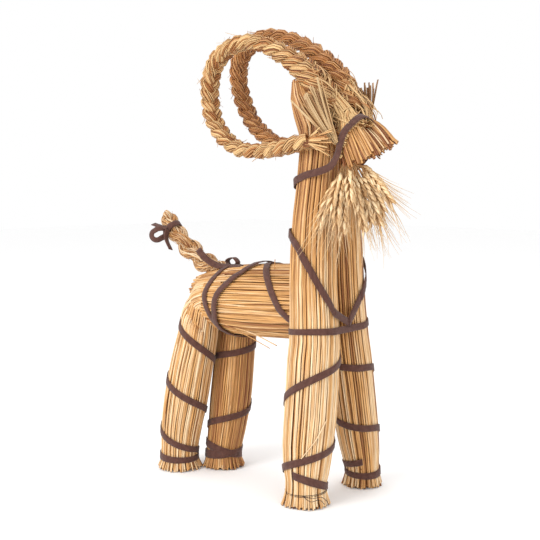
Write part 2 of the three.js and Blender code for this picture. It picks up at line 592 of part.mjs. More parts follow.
const hornSkins = [hornSolid(RIGHT, CLEARANCE), hornSolid(LEFT, CLEARANCE)];
for (const [name, side] of [["right", RIGHT], ["left", LEFT]]) {
  group.add(toMesh(`horn_${name}_plait`, cutBy(hornSolid(side), [...frontSkins, bridleSkin]), plaitedStraw));
  group.add(toMesh(`ear_${name}_fan`,
    cutBy(bundleSolid(ear(side)), [...frontSkins, ...hornSkins, bridleSkin]), leafStraw));
}
group.add(toMesh("beard_wheat", cutBy(beardSolid(), [...frontSkins, bridleSkin]), wheat));

group.add(toMesh("chest_ribbon", chestBand(), ribbonCloth));
group.add(toMesh("neck_ribbon", cutBy(neckRibbon(), [neckRibbonSkins[0], trunkSkin]), ribbonCloth));
group.add(toMesh("bridle_ribbon", cutBy(bridle(), frontSkins), ribbonCloth));
group.add(toMesh("front_right_ribbon", legRibbon(frontLegs[RIGHT], LEG_ROUTES.frontRight), ribbonCloth));
group.add(toMesh("front_left_ribbon", legRibbon(frontLegs[LEFT], LEG_ROUTES.frontLeft), ribbonCloth));
group.add(toMesh("hind_right_ribbon", legRibbon(hindLegs[RIGHT], LEG_ROUTES.hindRight), ribbonCloth));
group.add(toMesh("hind_left_ribbon", legRibbon(hindLegs[LEFT], LEG_ROUTES.hindLeft), ribbonCloth));
group.add(toMesh("rump_ribbon", trunkRibbon(RUMP_RING, true).add(rumpKnot()), ribbonCloth));
group.add(toMesh("slant_ribbon", trunkRibbon(SLANT_RING, true, UPPER_LAYER), ribbonCloth));
group.add(toMesh("tail_ribbon", cutBy(tailRibbon(), [tailSolid(CLEARANCE)]), ribbonCloth));
group.add(toMesh("withers_ribbon", cutBy(trunkRibbon(WITHERS_ARC, false), frontSkins), ribbonCloth));

// The origin: the middle of the whole goat's footprint, on the floor.
const whole = new THREE.Box3().setFromObject(group);
const middle = whole.getCenter(vec(0, 0, 0));
group.position.set(-middle.x, -middle.y, -whole.min.z);

export default group;
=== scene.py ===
"""A goat of bound straw: straws laid one by one along its bundles and plaits, with wheat and ribbon."""

import math

import bmesh
import bpy
import numpy as np
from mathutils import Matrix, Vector


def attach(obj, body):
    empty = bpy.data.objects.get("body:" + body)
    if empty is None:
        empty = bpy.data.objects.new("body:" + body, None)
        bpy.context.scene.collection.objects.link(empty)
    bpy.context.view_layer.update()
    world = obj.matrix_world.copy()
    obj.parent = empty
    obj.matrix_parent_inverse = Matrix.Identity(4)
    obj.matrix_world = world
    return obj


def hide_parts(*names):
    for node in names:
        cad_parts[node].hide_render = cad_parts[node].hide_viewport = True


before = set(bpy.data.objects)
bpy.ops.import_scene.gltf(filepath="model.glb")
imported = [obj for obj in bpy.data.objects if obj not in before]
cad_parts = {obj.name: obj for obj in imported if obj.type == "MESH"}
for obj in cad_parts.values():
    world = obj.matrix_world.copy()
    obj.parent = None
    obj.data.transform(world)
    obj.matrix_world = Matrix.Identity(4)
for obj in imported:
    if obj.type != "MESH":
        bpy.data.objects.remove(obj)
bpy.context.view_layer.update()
rng = np.random.default_rng(24)

# The goat's own frame: millimetres from the floor between its front feet, +X ahead, +Y to its left.
ORIGIN = np.array([123.09, 1.87, 0.0])
RIGHT, LEFT = -1, 1

NECK_HEIGHT = 543
TRUNK_HEIGHT = 251
TRUNK_LENGTH = 198
TRUNK_RADIUS = 51
WHEELBASE = 224
FRONT_STANCE = 116
HIND_OFFSET = 33
LEG_RADIUS = 32.5
HIND_STANCE = 1.508 * LEG_RADIUS
HIND_STAGGER = 1.262 * LEG_RADIUS
HEAD_LENGTH = 106
HEAD_DROP = 53
HORN_REACH = 260
HORN_RISE = 155
HORN_HALF_WIDTH = 15
TAIL_LENGTH = 132
TAIL_HALF_WIDTH = 12.5
EAR_LENGTH = 84
EAR_HALF_WIDTH = {RIGHT: 18, LEFT: 10}
BEARD_LENGTH = 100
RIBBON_WIDTH = 9
RIBBON_THICKNESS = 1
RIBBON_GAP = 0.45
UPPER_LAYER = 1.9
STRAW_RADIUS = 1.22
CORE_INSET = 5.2
FLOOR_GAP = 0.05
GOLDEN_ANGLE = math.radians(137.508)

# A cut end's wall, the lip of its bore and the bore's edge are shares of the straw's radius.
STRAW_WALL = 0.3
BORE_LIP = 0.06
BORE_EDGE = 0.67
BORE_DEPTH = 2.5


# Lines and bundles

def smooth_line(stops, shares):
    """Points on the smooth line through the stops, each at a share of its spans."""
    stops = np.asarray(stops, float)
    place = np.clip(np.asarray(shares, float), 0, 1) * (len(stops) - 1)
    ends = np.vstack([2 * stops[0] - stops[1], stops, 2 * stops[-1] - stops[-2]])
    span = np.minimum(place.astype(int), len(stops) - 2)
    w = (place - span)[..., None]
    p0, p1, p2, p3 = (ends[span + k] for k in range(4))
    d0, d1, d2 = (np.sqrt(np.maximum(np.linalg.norm(b - a, axis=-1, keepdims=True), 1e-6))
                  for a, b in ((p0, p1), (p1, p2), (p2, p3)))
    start = ((p1 - p0) / d0 - (p2 - p0) / (d0 + d1) + (p2 - p1) / d1) * d1
    end = ((p2 - p1) / d1 - (p3 - p1) / (d1 + d2) + (p3 - p2) / d2) * d1
    return (p1 + start * w + (3 * (p2 - p1) - 2 * start - end) * w**2
            + (2 * (p1 - p2) + start + end) * w**3)


def smooth_lines(stops, points):
    """A smooth line of evenly shared points through each row of stops."""
    return np.stack([smooth_line(row, np.linspace(0, 1, points)) for row in stops])


def unit(vectors):
    return vectors / np.maximum(np.linalg.norm(vectors, axis=-1, keepdims=True), 1e-9)


def frame_on(stops, shares):
    """Centre of a path, with across level to the goat's left and outward square to it and the path."""
    shares = np.asarray(shares, float)
    along = unit(smooth_line(stops, shares + 1e-4) - smooth_line(stops, shares - 1e-4))
    across = unit(np.array([0.0, 1.0, 0.0]) - along[..., 1:2] * along)
    return smooth_line(stops, shares), across, np.cross(across, along)


def on_bundle(stations, shares, angles, proud=0.0, fraction=1.0):
    """Points on a bundle, and the way that its skin looks there.

    A bundle's stations are rows of x, y, z, half depth and half width."""
    centre, across, outward = frame_on(stations[:, :3], shares)
    depth, width = np.moveaxis(smooth_line(stations[:, 3:], shares), -1, 0)
    c, s = np.cos(angles), np.sin(angles)
    point = (centre + (c * (depth * fraction + proud))[..., None] * outward
             + (s * (width * fraction + proud))[..., None] * across)
    return point, unit(c[..., None] * outward + s[..., None] * across)


def spread(start, end, rows, close=1.0):
    """Shares from each straw's start to its end, in even rows, or closer together at the start."""
    start, end = np.broadcast_arrays(np.atleast_1d(start), np.atleast_1d(end))
    return start[:, None] + (end - start)[:, None] * np.linspace(0, 1, rows + 1) ** close


# Straws

def sheaf(centres, normals, half_width, half_depth=None, tint=0.4, sides=6, open_ends=True):
    """Straws along lines of points, with half widths, half depths and tints from 0 pale to 1 brown."""
    shape = centres.shape[:2]
    half_width = np.broadcast_to(np.asarray(half_width, float), shape)
    if half_depth is None:
        half_depth = half_width
    return dict(centres=centres, normals=normals, half_width=half_width,
                half_depth=np.broadcast_to(np.asarray(half_depth, float), shape),
                tint=np.broadcast_to(np.asarray(tint, float), shape[:1]), sides=sides, open_ends=open_ends)


blanks = {}


def straw_blank(sides, rows, open_ends):
    """A straight straw along Z, drawn from one cone; open ends are inset to a wall and a sunken bore, which
    the straw finish darkens as painted shade.
    """
    if (sides, rows, open_ends) in blanks:
        return blanks[sides, rows, open_ends]
    bm = bmesh.new()
    bmesh.ops.create_cone(bm, cap_ends=True, segments=sides, radius1=1, radius2=1, depth=1)
    bmesh.ops.translate(bm, verts=bm.verts, vec=(0, 0, 0.5))
    lengthways = [e for e in bm.edges if abs(e.verts[0].co.z - e.verts[1].co.z) > 0.5]
    bmesh.ops.subdivide_edges(bm, edges=lengthways, cuts=rows - 1, use_grid_fill=True)
    caps = [f for f in bm.faces if abs(f.normal.z) > 0.5]
    for face in bm.faces:
        face.smooth = face not in caps
    for edge in {e for face in caps for e in face.edges}:
        edge.smooth = False
    if open_ends:
        bmesh.ops.inset_individual(bm, faces=caps, thickness=STRAW_WALL)
        bmesh.ops.inset_individual(bm, faces=caps, thickness=BORE_LIP)
    mesh = bpy.data.meshes.new("blank")
    bm.to_mesh(mesh)
    bm.free()
    places = np.empty(len(mesh.vertices) * 3)
    mesh.vertices.foreach_get("co", places)
    blanks[sides, rows, open_ends] = mesh, places.reshape(-1, 3)
    return blanks[sides, rows, open_ends]


def straw_piece(name, sheaves, finish, node=None, limit=None, deeper=None):
    """One piece made of sheaves of straws, which rides on the goat and may stand for a node.

    Given its points, limit keeps them where they belong and deeper adds to their tints."""
    bm = bmesh.new()
    places, grains, tints, hollows = [], [], [], []
    for straws in sheaves:
        centres, normals = straws["centres"], straws["normals"]
        count, rows = centres.shape[:2]
        blank, local = straw_blank(straws["sides"], rows - 1, straws["open_ends"])
        for _ in range(count):
            bm.from_mesh(blank)
        along = unit(np.gradient(centres, axis=1))
        side = unit(np.cross(normals, along))
        normal = np.cross(along, side)
        row = np.rint(local[:, 2] * (rows - 1)).astype(int)
        radius = np.hypot(local[:, 0], local[:, 1])
        bore = (radius < BORE_EDGE) & straws["open_ends"]
        sink = np.where(bore, np.where(row == 0, BORE_DEPTH, -BORE_DEPTH), 0.0)
        aside = local[:, 0] * straws["half_width"][:, row]
        above = local[:, 1] * straws["half_depth"][:, row]
        point = (centres[:, row] + aside[..., None] * side[:, row] + above[..., None] * normal[:, row]
                 + sink[:, None] * along[:, row])
        steps = np.linalg.norm(np.diff(centres, axis=1), axis=-1)
        length = np.concatenate([np.zeros((count, 1)), np.cumsum(steps, axis=1)], axis=1)[:, row]
        shift = rng.uniform(0, 900, (count, 1))
        grain = np.stack([aside + shift, above, length], axis=-1)
        places.append(point.reshape(-1, 3))
        grains.append(grain.reshape(-1, 3))
        tints.append(np.repeat(straws["tint"], len(local)))
        hollows.append(np.tile(bore.astype(float), count))
    mesh = bpy.data.meshes.new(name)
    bm.to_mesh(mesh)
    bm.free()
    places = np.concatenate(places)
    if limit:
        places = limit(places)
    tints = np.concatenate(tints)
    if deeper:
        tints = np.clip(tints + deeper(places), 0, 1)
    places[:, 2] = np.maximum(places[:, 2], FLOOR_GAP)
    mesh.vertices.foreach_set("co", ((places + ORIGIN) / 1000).ravel())
    for label, kind, field, values in (("grain", "FLOAT_VECTOR", "vector", np.concatenate(grains)),
                                       ("tint", "FLOAT", "value", tints),
                                       ("bore", "FLOAT", "value", np.concatenate(hollows))):
        mesh.attributes.new(label, kind, "POINT").data.foreach_set(field, values.ravel())
    mesh.update()
    finished(name, mesh, finish, node)


def finished(name, mesh, finish, node=None):
    piece = bpy.data.objects.new(name, mesh)
    bpy.context.scene.collection.objects.link(piece)
    mesh.materials.append(finish)
    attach(piece, "root")
    if node:
        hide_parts(node)
    return piece


def tints_of(count, pale, deep):
    """A tint for each straw, more of them pale than deep."""
    return pale + (deep - pale) * rng.beta(0.9, 1.5, count)


def straw_halves(count, radius=STRAW_RADIUS, uneven=0.1, least=0.75, most=1.3):
    """Half widths of straws, no two quite alike."""
    return radius * rng.normal(1, uneven, count).clip(least, most)


def skin_straws(stations, count, span, tint, depth=0.0, rows=16, ragged=(0.0, 0.0), flare=(0.0, 0.1),
                arc=(0.0, 2 * math.pi)):
    """Straws side by side on a bundle's skin, a little uneven in place, girth and length.

    ragged is how far short of the span they may stop at its start and its end, and flare is how far
    they open outwards at the start, and over what share of the bundle."""
    half = straw_halves(count)
    step = (arc[1] - arc[0]) / count
    angle = arc[0] + (np.arange(count) + 0.5) * step + rng.uniform(-0.42, 0.42, count) * step
    start = span[0] + rng.uniform(0, 1, count) * ragged[0]
    end = span[1] - rng.uniform(0, 1, count) * ragged[1]
    shares = spread(start, end, rows, 1.3 if flare[0] else 1.0)
    drift = rng.normal(0, 0.5, count)[:, None] * step
    wave = np.sin(shares * rng.uniform(4, 11, count)[:, None] + rng.uniform(0, 6.3, count)[:, None])
    turn = angle[:, None] + drift * (shares - 0.5) * 2 + 0.25 * step * wave
    sag = np.abs(rng.normal(0, 0.35, count))[:, None] * (1 + 0.5 * wave)
    opening = rng.uniform(0.2, 1.3, count)[:, None] * np.clip(1 - shares / flare[1], 0, 1) ** 1.5
    centres, normals = on_bundle(stations, shares, turn, flare[0] * opening - half[:, None] - depth - sag)
    return sheaf(centres, normals, half[:, None], tint=tints_of(count, *tint))


END_ROWS = 3
END_REACH = 0.94


def end_straws(stations, count, span, tint, radius=STRAW_RADIUS, ragged=0.0):
    """Short straws that fill a bundle's cut end, set out like seeds in a sunflower."""
    index = np.arange(count)
    fraction = np.sqrt((index + 0.5) / count)[:, None] * END_REACH
    angle = (index * GOLDEN_ANGLE)[:, None] + np.zeros(END_ROWS + 1)
    shares = spread(span[0] + rng.uniform(0, 1, count) * ragged, span[1], END_ROWS)
    half = straw_halves(count, radius)
    centres, normals = on_bundle(stations, shares, angle, -half[:, None], fraction)
    return sheaf(centres, normals, half[:, None], tint=tints_of(count, *tint))


def core(stations, span, rows, inset=CORE_INSET, sides=16):
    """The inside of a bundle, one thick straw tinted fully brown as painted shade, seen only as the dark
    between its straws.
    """
    shares = spread(*span, rows)
    centre, across, outward = frame_on(stations[:, :3], shares)
    girth = np.maximum(smooth_line(stations[:, 3:], shares) - inset, 1.0)
    return sheaf(centre, outward, girth[..., 1], girth[..., 0], tint=1.0, sides=sides, open_ends=False)


# Finishes

def srgb(red, green, blue):
    """A colour as a linear one, from 0 to 255 each."""
    values = np.array([red, green, blue]) / 255
    return tuple(np.where(values <= 0.04045, values / 12.92, ((values + 0.055) / 1.055) ** 2.4)) + (1.0,)


class Nodes:
    """Places nodes in a tree and joins them."""

    def __init__(self, tree):
        self.tree = tree

    def add(self, kind, **values):
        node = self.tree.nodes.new(kind)
        for key, value in values.items():
            setattr(node, key, value)
        node.location = (220 * len(self.tree.nodes), 0)
        return node

    def join(self, source, target):
        self.tree.links.new(source, target)

    def maths(self, operation, first, second=None, clamp=False):
        node = self.add("ShaderNodeMath", operation=operation, use_clamp=clamp)
        for socket, value in zip(node.inputs, (first, second)):
            if isinstance(value, (int, float)):
                socket.default_value = value
            elif value is not None:
                self.join(value, socket)
        return node.outputs[0]

    def past(self, value, middle, scale, clamp=False):
        """How far a value is past a middle one, times a scale."""
        return self.maths("MULTIPLY", self.maths("SUBTRACT", value, middle), scale, clamp)

    def mix(self, factor, first, second):
        node = self.add("ShaderNodeMix", data_type="RGBA")
        for place, value in ((0, factor), (6, first), (7, second)):
            if isinstance(value, tuple):
                node.inputs[place].default_value = value
            else:
                self.join(value, node.inputs[place])
        return node.outputs[2]

    def noise(self, vector, scale, detail, stretch=(1, 1, 1)):
        mapping = self.add("ShaderNodeMapping")
        mapping.inputs["Scale"].default_value = stretch
        self.join(vector, mapping.inputs["Vector"])
        node = self.add("ShaderNodeTexNoise")
        node.inputs["Scale"].default_value = scale
        node.inputs["Detail"].default_value = detail
        self.join(mapping.outputs[0], node.inputs["Vector"])
        return node.outputs["Fac"]


def effect_group(name, inputs, outputs):
    """An empty node group with its sockets, and the nodes that stand for them."""
    tree = bpy.data.node_groups.new(name, "ShaderNodeTree")
    for way, sockets in (("INPUT", inputs), ("OUTPUT", outputs)):
        for label, kind in sockets.items():
            tree.interface.new_socket(label, in_out=way, socket_type=f"NodeSocket{kind}")
    nodes = Nodes(tree)
    return tree, nodes, nodes.add("NodeGroupInput").outputs, nodes.add("NodeGroupOutput").inputs


# Painted shade for the inside of a straw's sunken bore.
BORE_SHADE = srgb(84, 52, 26)


def straw_group():
    """Colour and fibre of straw: a tint for each straw, streaks along it, blotches, and painted shade on
    its inward side and in its bore.
    """
    tree, nodes, given, out = effect_group(
        "straw_fibre", {"Pale": "Color", "Golden": "Color", "Brown": "Color", "Streaks": "Float"},
        {"Color": "Color", "Roughness": "Float", "Height": "Float"})
    grain = nodes.add("ShaderNodeAttribute", attribute_name="grain").outputs["Vector"]
    tint = nodes.add("ShaderNodeAttribute", attribute_name="tint").outputs["Fac"]
    bore = nodes.add("ShaderNodeAttribute", attribute_name="bore").outputs["Fac"]
    fibre = nodes.noise(grain, 1.0, 3.0, (2.2, 2.2, 0.035))
    blotch = nodes.noise(grain, 1.0, 2.0, (0.21, 0.21, 0.018))
    shade = nodes.maths("ADD", tint, nodes.past(blotch, 0.5, 0.9), clamp=True)
    golden = nodes.mix(nodes.maths("MULTIPLY", shade, 2.0, clamp=True), given["Pale"], given["Golden"])
    colour = nodes.mix(nodes.past(shade, 0.5, 2.0, clamp=True), golden, given["Brown"])
    streak = nodes.maths("MULTIPLY", nodes.past(fibre, 0.45, given["Streaks"]), 3.0, clamp=True)
    colour = nodes.mix(streak, colour, given["Brown"])
    parts = nodes.add("ShaderNodeSeparateXYZ")
    nodes.join(grain, parts.inputs[0])
    # Painted shade: each straw's underside, the side that faces into its bundle, is darkened towards brown.
    underside_shade = nodes.maths("SUBTRACT", 0.5, nodes.maths("MULTIPLY", parts.outputs[1], 0.75), clamp=True)
    colour = nodes.mix(nodes.maths("MULTIPLY", underside_shade, 0.9), colour, given["Brown"])
    # Painted shade: a cut end's bore is darkened towards brown.
    colour = nodes.mix(nodes.maths("MULTIPLY", bore, 0.8), colour, BORE_SHADE)
    nodes.join(colour, out["Color"])
    nodes.join(nodes.maths("ADD", nodes.maths("MULTIPLY", fibre, 0.3), 0.34), out["Roughness"])
    nodes.join(fibre, out["Height"])
    return tree


RIB_PITCH = 0.8
THREAD_PITCH = 0.55


def weave_group():
    """A narrow woven tape: ribs across it, threads along it, paler on its edges."""
    tree, nodes, given, out = effect_group(
        "tape_weave", {"Cloth": "Color", "Pale tone": "Color", "Width": "Float"},
        {"Color": "Color", "Height": "Float"})
    lay = nodes.add("ShaderNodeUVMap", uv_map="weave").outputs[0]
    parts = nodes.add("ShaderNodeSeparateXYZ")
    nodes.join(lay, parts.inputs[0])
    ribs, threads = (nodes.maths("SINE", nodes.maths("MULTIPLY", part, 2 * math.pi / pitch))
                     for part, pitch in zip(parts.outputs, (RIB_PITCH, THREAD_PITCH)))
    cloth = nodes.maths("ADD", nodes.maths("MULTIPLY", nodes.maths("MULTIPLY", ribs, threads), 0.5), 0.5)
    across = nodes.maths("DIVIDE", parts.outputs[1], given["Width"])
    from_middle = nodes.maths("ABSOLUTE", nodes.maths("SUBTRACT", across, 0.5))
    edge = nodes.past(from_middle, 0.4, 8.0, clamp=True)
    pale_tone = nodes.maths("ADD", nodes.maths("MULTIPLY", edge, 0.35), nodes.maths("MULTIPLY", cloth, 0.25))
    patches = nodes.past(nodes.noise(lay, 0.16, 3.0), 0.4, 1.2)
    pale_tone = nodes.maths("ADD", pale_tone, patches, clamp=True)
    nodes.join(nodes.mix(pale_tone, given["Cloth"], given["Pale tone"]), out["Color"])
    nodes.join(cloth, out["Height"])
    return tree


straw_fibre, tape_weave = straw_group(), weave_group()


def effect_finish(name, group, values, own, relief):
    """A material that a group colours and roughens, with the relief's strength and height in metres."""
    material = bpy.data.materials.new(name)
    material.use_nodes = True
    nodes = Nodes(material.node_tree)
    shader = material.node_tree.nodes["Principled BSDF"]
    effect = nodes.add("ShaderNodeGroup", node_tree=group)
    bump = nodes.add("ShaderNodeBump")
    for node, settings in ((shader, own), (effect, values), (bump, relief)):
        for label, value in settings.items():
            node.inputs[label].default_value = value
    nodes.join(effect.outputs["Height"], bump.inputs["Height"])
    nodes.join(bump.outputs[0], shader.inputs["Normal"])
    nodes.join(effect.outputs["Color"], shader.inputs["Base Color"])
    if "Roughness" in effect.outputs:
        nodes.join(effect.outputs["Roughness"], shader.inputs["Roughness"])
    return material


def straw_finish(name, pale, golden, brown, streaks):
    values = {"Pale": pale, "Golden": golden, "Brown": brown, "Streaks": streaks}
    return effect_finish(name, straw_fibre, values, {"Specular IOR Level": 0.45},
                         {"Strength": 0.35, "Distance": 0.0004})


def tape_finish(name, cloth, pale_tone):
    values = {"Cloth": cloth, "Pale tone": pale_tone, "Width": RIBBON_WIDTH}
    own = {"Roughness": 0.85, "Specular IOR Level": 0.25, "Sheen Weight": 0.15}
    return effect_finish(name, tape_weave, values, own, {"Strength": 0.5, "Distance": 0.0002})


leg_straw = straw_finish("leg_straw", srgb(248, 224, 184), srgb(219, 166, 100), srgb(126, 70, 30), 0.85)
plait_straw = straw_finish("plait_straw", srgb(244, 205, 144), srgb(204, 140, 76), srgb(112, 59, 24), 0.9)
leaf_straw = straw_finish("leaf_straw", srgb(255, 228, 174), srgb(230, 180, 116), srgb(138, 98, 58), 0.8)
wheat_straw = straw_finish("wheat_straw", srgb(255, 232, 190), srgb(236, 200, 148), srgb(178, 132, 82), 0.5)
dark_thread = straw_finish("thread", srgb(90, 62, 44), srgb(76, 50, 36), srgb(58, 38, 28), 0.5)
brown_tape = tape_finish("brown_tape", srgb(77, 47, 39), srgb(110, 76, 66))


# Legs, neck and head

# Rows of rise, forward, apart, half depth and half width. Rise is a share of the neck's height, apart
# runs from 0 where the bundles touch to 1 at half the stance, and the rest are shares of a leg's radius.
FRONT_STATIONS = [
    [0, 0, 1, 0.84, 0.84], [0.045, 0, 1, 0.8, 0.8], [0.085, -0.04, 0.9, 0.91, 0.91],
    [0.14, -0.1, 0.74, 1, 1], [0.24, -0.16, 0.42, 1.04, 1.04], [0.33, -0.25, 0.18, 1.03, 1.03],
    [0.4, -0.3, 0, 0.98, 0.98], [0.5, -0.42, -0.05, 0.94, 0.96], [0.6, -0.46, -0.12, 0.91, 0.92],
    [0.7, -0.48, -0.26, 0.86, 0.84], [0.8, -0.46, -0.46, 0.84, 0.72], [0.875, -0.48, -0.48, 0.84, 0.68],
    [0.93, -0.9, -0.5, 0.76, 0.68], [0.96, -1.18, -0.5, 0.6, 0.64], [1, -1.4, -0.52, 0.3, 0.5],
]
TOUCHING = 0.95 * LEG_RADIUS

# The near bundle's girth, and the far one's at its foot with what it gains, from where and over how much.
NEAR_GIRTH = 1.02
FAR_GIRTH = 0.89
FAR_GAIN = 0.07
GAIN_FROM = 0.15
GAIN_OVER = 0.27


def front_bundle(side):
    rows = []
    for rise, forward, apart, depth, width in FRONT_STATIONS:
        ease = np.clip((rise - GAIN_FROM) / GAIN_OVER, 0, 1)
        girth = NEAR_GIRTH if side == RIGHT else FAR_GIRTH + FAR_GAIN * ease * ease * (3 - 2 * ease)
        rows.append([forward * LEG_RADIUS, side * (TOUCHING + apart * (FRONT_STANCE / 2 - TOUCHING)),
                     rise * NECK_HEIGHT, depth * LEG_RADIUS * girth, width * LEG_RADIUS * girth])
    return np.array(rows)


HEAD_STATIONS = [[0, 0, 0.5, 0.56, 0.6], [0.28, 0.4, 0.52, 0.44, 0.62], [0.54, 0.68, 0.52, 0.46, 0.63],
                 [0.73, 0.76, 0.52, 0.58, 0.63], [1, 1, 0.52, 0.56, 0.64]]
HEAD_START = (-38, 0, 507)
MIDDLE_GAP = 0.03


def head_bundle(side):
    return np.array([[HEAD_START[0] + forward * HEAD_LENGTH, side * apart * LEG_RADIUS,
                      HEAD_START[2] - drop * HEAD_DROP, depth * LEG_RADIUS, width * LEG_RADIUS]
                     for forward, drop, apart, depth, width in HEAD_STATIONS])


def own_side(side):
    """Keeps the straws of one front bundle on its side of the goat's middle."""
    def limit(places):
        places[:, 1] = side * np.maximum(side * places[:, 1], MIDDLE_GAP)
        return places
    return limit


# The nose's slanted edge from right to left, as aside, ahead and up, and the depth of its cut face.
NOSE_EDGE = np.array([[-40, 57, 434], [-30, 64, 437], [-12, 73, 447],
                      [8, 76, 455], [24, 77, 463], [38, 61, 467]])
NOSE_DEPTH = 30
NOSE_BULGE = 3


def nose_end(aside, under):
    """Where the nose's straws are cut, from its edge in front at 0 back under it at 1."""
    ahead, up = (np.interp(aside, NOSE_EDGE[:, 0], NOSE_EDGE[:, column]) for column in (1, 2))
    bulge = NOSE_BULGE * np.sin(math.pi * under)
    return np.stack([ahead - NOSE_DEPTH * under**2, aside, up - bulge], axis=-1)


MUZZLE_TINT = (-0.05, 1.0)
MUZZLE_SWELL = np.array([0.75, 0, 0.65])


def muzzle_straws(stations, count, fraction):
    """The straws of one half of the head: below the bridle they bend down and fan out over the nose."""
    half = STRAW_RADIUS * rng.normal(1.2, 0.28, count).clip(0.7, 1.8)
    angle = (np.arange(count) + rng.uniform(-0.45, 0.45, count)) * 2 * math.pi / count
    level = np.ones(count)
    deep = -half - np.abs(rng.normal(0, 0.9, count))
    back, start, bend = (
        on_bundle(stations, level * share, angle + rng.normal(0, 0.05, count), deep, fraction)[0]
        for share in (0.2, 0.45, 0.68))
    normals = on_bundle(stations, level, angle)[1]
    swell = fraction * np.clip(1.5 * normals[:, 2], 0, 1) * np.clip(1 + bend[:, 1] / 40, 0.4, 1.4)
    swell = swell[:, None] * MUZZLE_SWELL
    bend += 6 * swell
    aside = on_bundle(stations, level, angle, deep, fraction)[0][:, 1]

    # A head's angles start at its underside, so their cosine says how far under a straw lies.
    end = nose_end(aside * 1.06, 0.5 + 0.5 * fraction * np.cos(angle))
    end += (end - bend) * rng.uniform(-0.16, 0.05, count)[:, None] + rng.normal(0, 1.1, (count, 3))
    upper = bend * 0.66 + end * 0.34 + 2 * swell
    lower = bend * 0.33 + end * 0.67 + 1.5 * swell
    lines = smooth_lines(np.stack([back, start, bend, upper, lower, end], axis=1), 13)
    return sheaf(lines, np.broadcast_to(normals[:, None], lines.shape), half[:, None],
                 tint=tints_of(count, *MUZZLE_TINT))


# The straw is browner from one height on the neck up to another.
BROWNER_FROM = 170
BROWNEST_AT = 410


def deeper_up(most):
    """Adds to the tints of straw towards the head, up to the most."""
    return lambda places: most * np.clip((places[:, 2] - BROWNER_FROM) / (BROWNEST_AT - BROWNER_FROM), 0, 1)


front_legs = {side: front_bundle(side) for side in (RIGHT, LEFT)}
heads = {side: head_bundle(side) for side in (RIGHT, LEFT)}

# Each leg's side, its word, its skin's tint, how much browner its neck is, and the straws in its skin.
# The far (left) leg's browner skin tint is partly its straws' own colour and partly painted shade.
FRONT_LEGS = ((RIGHT, "right", (0.0, 0.62), 0.42, 85), (LEFT, "left", (0.05, 0.95), 0.15, 76))
# The straws under the skin are tinted browner: painted shade in the gaps between the skin's straws.
UNDER_SHADE_TINT = (0.5, 1.2)
CUT_TINT = (0.0, 0.7)
FOOT_STRAWS = 170

# The straws of each half of the head, from its skin inwards, as a count and a share of its girth.
MUZZLE_LAYERS = ((50, 1), (44, 0.86), (36, 0.7), (26, 0.5), (14, 0.28))
for side, word, tint, browner, count in FRONT_LEGS:
    leg, head = front_legs[side], heads[side]
    straw_piece(f"front_{word}_straws", [
        core(leg, (0.004, 0.99), 28),
        skin_straws(leg, count, (0, 1), tint, rows=20, ragged=(0.014, 0.02), flare=(4.5, 0.07)),
        skin_straws(leg, 62, (0, 0.98), UNDER_SHADE_TINT, 2.1, rows=18, ragged=(0.014, 0.03), flare=(3.0, 0.06)),
        end_straws(leg, FOOT_STRAWS, (0.0, 0.06), CUT_TINT, ragged=0.014),
        core(head, (0, 0.62), 8, inset=6.5),
        *(muzzle_straws(head, straws, fraction) for straws, fraction in MUZZLE_LAYERS),
    ], leg_straw, f"front_{word}_bundle", own_side(side), deeper_up(browner))

TRUNK_STATIONS = [[0, 1.01], [0.2, 1], [0.45, 1], [0.7, 0.96], [0.87, 0.86], [1, 0.74]]
TRUNK_FRONT = (-26, -2, TRUNK_HEIGHT + 3)
TRUNK_DRIFT = -16
TRUNK_SAG = -10
trunk = np.array([[TRUNK_FRONT[0] - share * TRUNK_LENGTH, TRUNK_FRONT[1] + share * TRUNK_DRIFT,
                   TRUNK_FRONT[2] + share * TRUNK_SAG, girth * TRUNK_RADIUS, girth * TRUNK_RADIUS]
                  for share, girth in TRUNK_STATIONS])

HIND_STATIONS = [[0, 0, 0.85, 0.85], [0.09, 0, 0.8, 0.8], [0.24, 0.14, 0.88, 0.88],
                 [0.42, 0.38, 0.95, 0.95], [0.6, 0.6, 0.93, 0.93], [0.76, 0.82, 0.88, 0.88],
                 [0.93, 1, 0.76, 0.76], [1.06, 1.2, 0.46, 0.5]]
HIPS = {RIGHT: (TRUNK_FRONT[0] - 0.955 * TRUNK_LENGTH, TRUNK_FRONT[1] - 1.108 * LEG_RADIUS),
        LEFT: (TRUNK_FRONT[0] - 0.874 * TRUNK_LENGTH, TRUNK_FRONT[1] + 0.615 * LEG_RADIUS)}
SLANT = {RIGHT: 1.2, LEFT: 0.7}
HIND_GIRTH = {RIGHT: 1.02, LEFT: 0.97}


def hind_bundle(side):
    girth = HIND_GIRTH[side]
    foot = np.array([-WHEELBASE + side * HIND_STAGGER / 2, -HIND_OFFSET + side * HIND_STANCE / 2])
    rows = []
    for rise, share, depth, width in HIND_STATIONS:
        x, y = foot + (np.array(HIPS[side]) - foot) * share ** SLANT[side]
        rows.append([x, y, rise * TRUNK_HEIGHT, depth * LEG_RADIUS * girth, width * LEG_RADIUS * girth])
    return np.array(rows)


# Where a hind leg's upper ribbon lies: degrees from the leg's front towards its left, and heights there.
TIE_ANGLES = {RIGHT: [-205, -170, -136, -46, 43.5], LEFT: [-46, 43.5, 60, 205]}
TIE_HEIGHTS = {RIGHT: [224, 221, 212, 188, 165], LEFT: [168, 182, 186, 196]}

# Degrees round a hind leg: its seam, and from where outwards its straws end at the ribbon. The far leg's
# outermost ones end past it by up to the uneven millimetres, and inner straws at a share of the leg.
LEG_SEAM = {RIGHT: 155, LEFT: 205}
OUTER_FROM = 32
UNEVEN_FROM = 62
UNEVEN = 22
INNER_END = 0.88

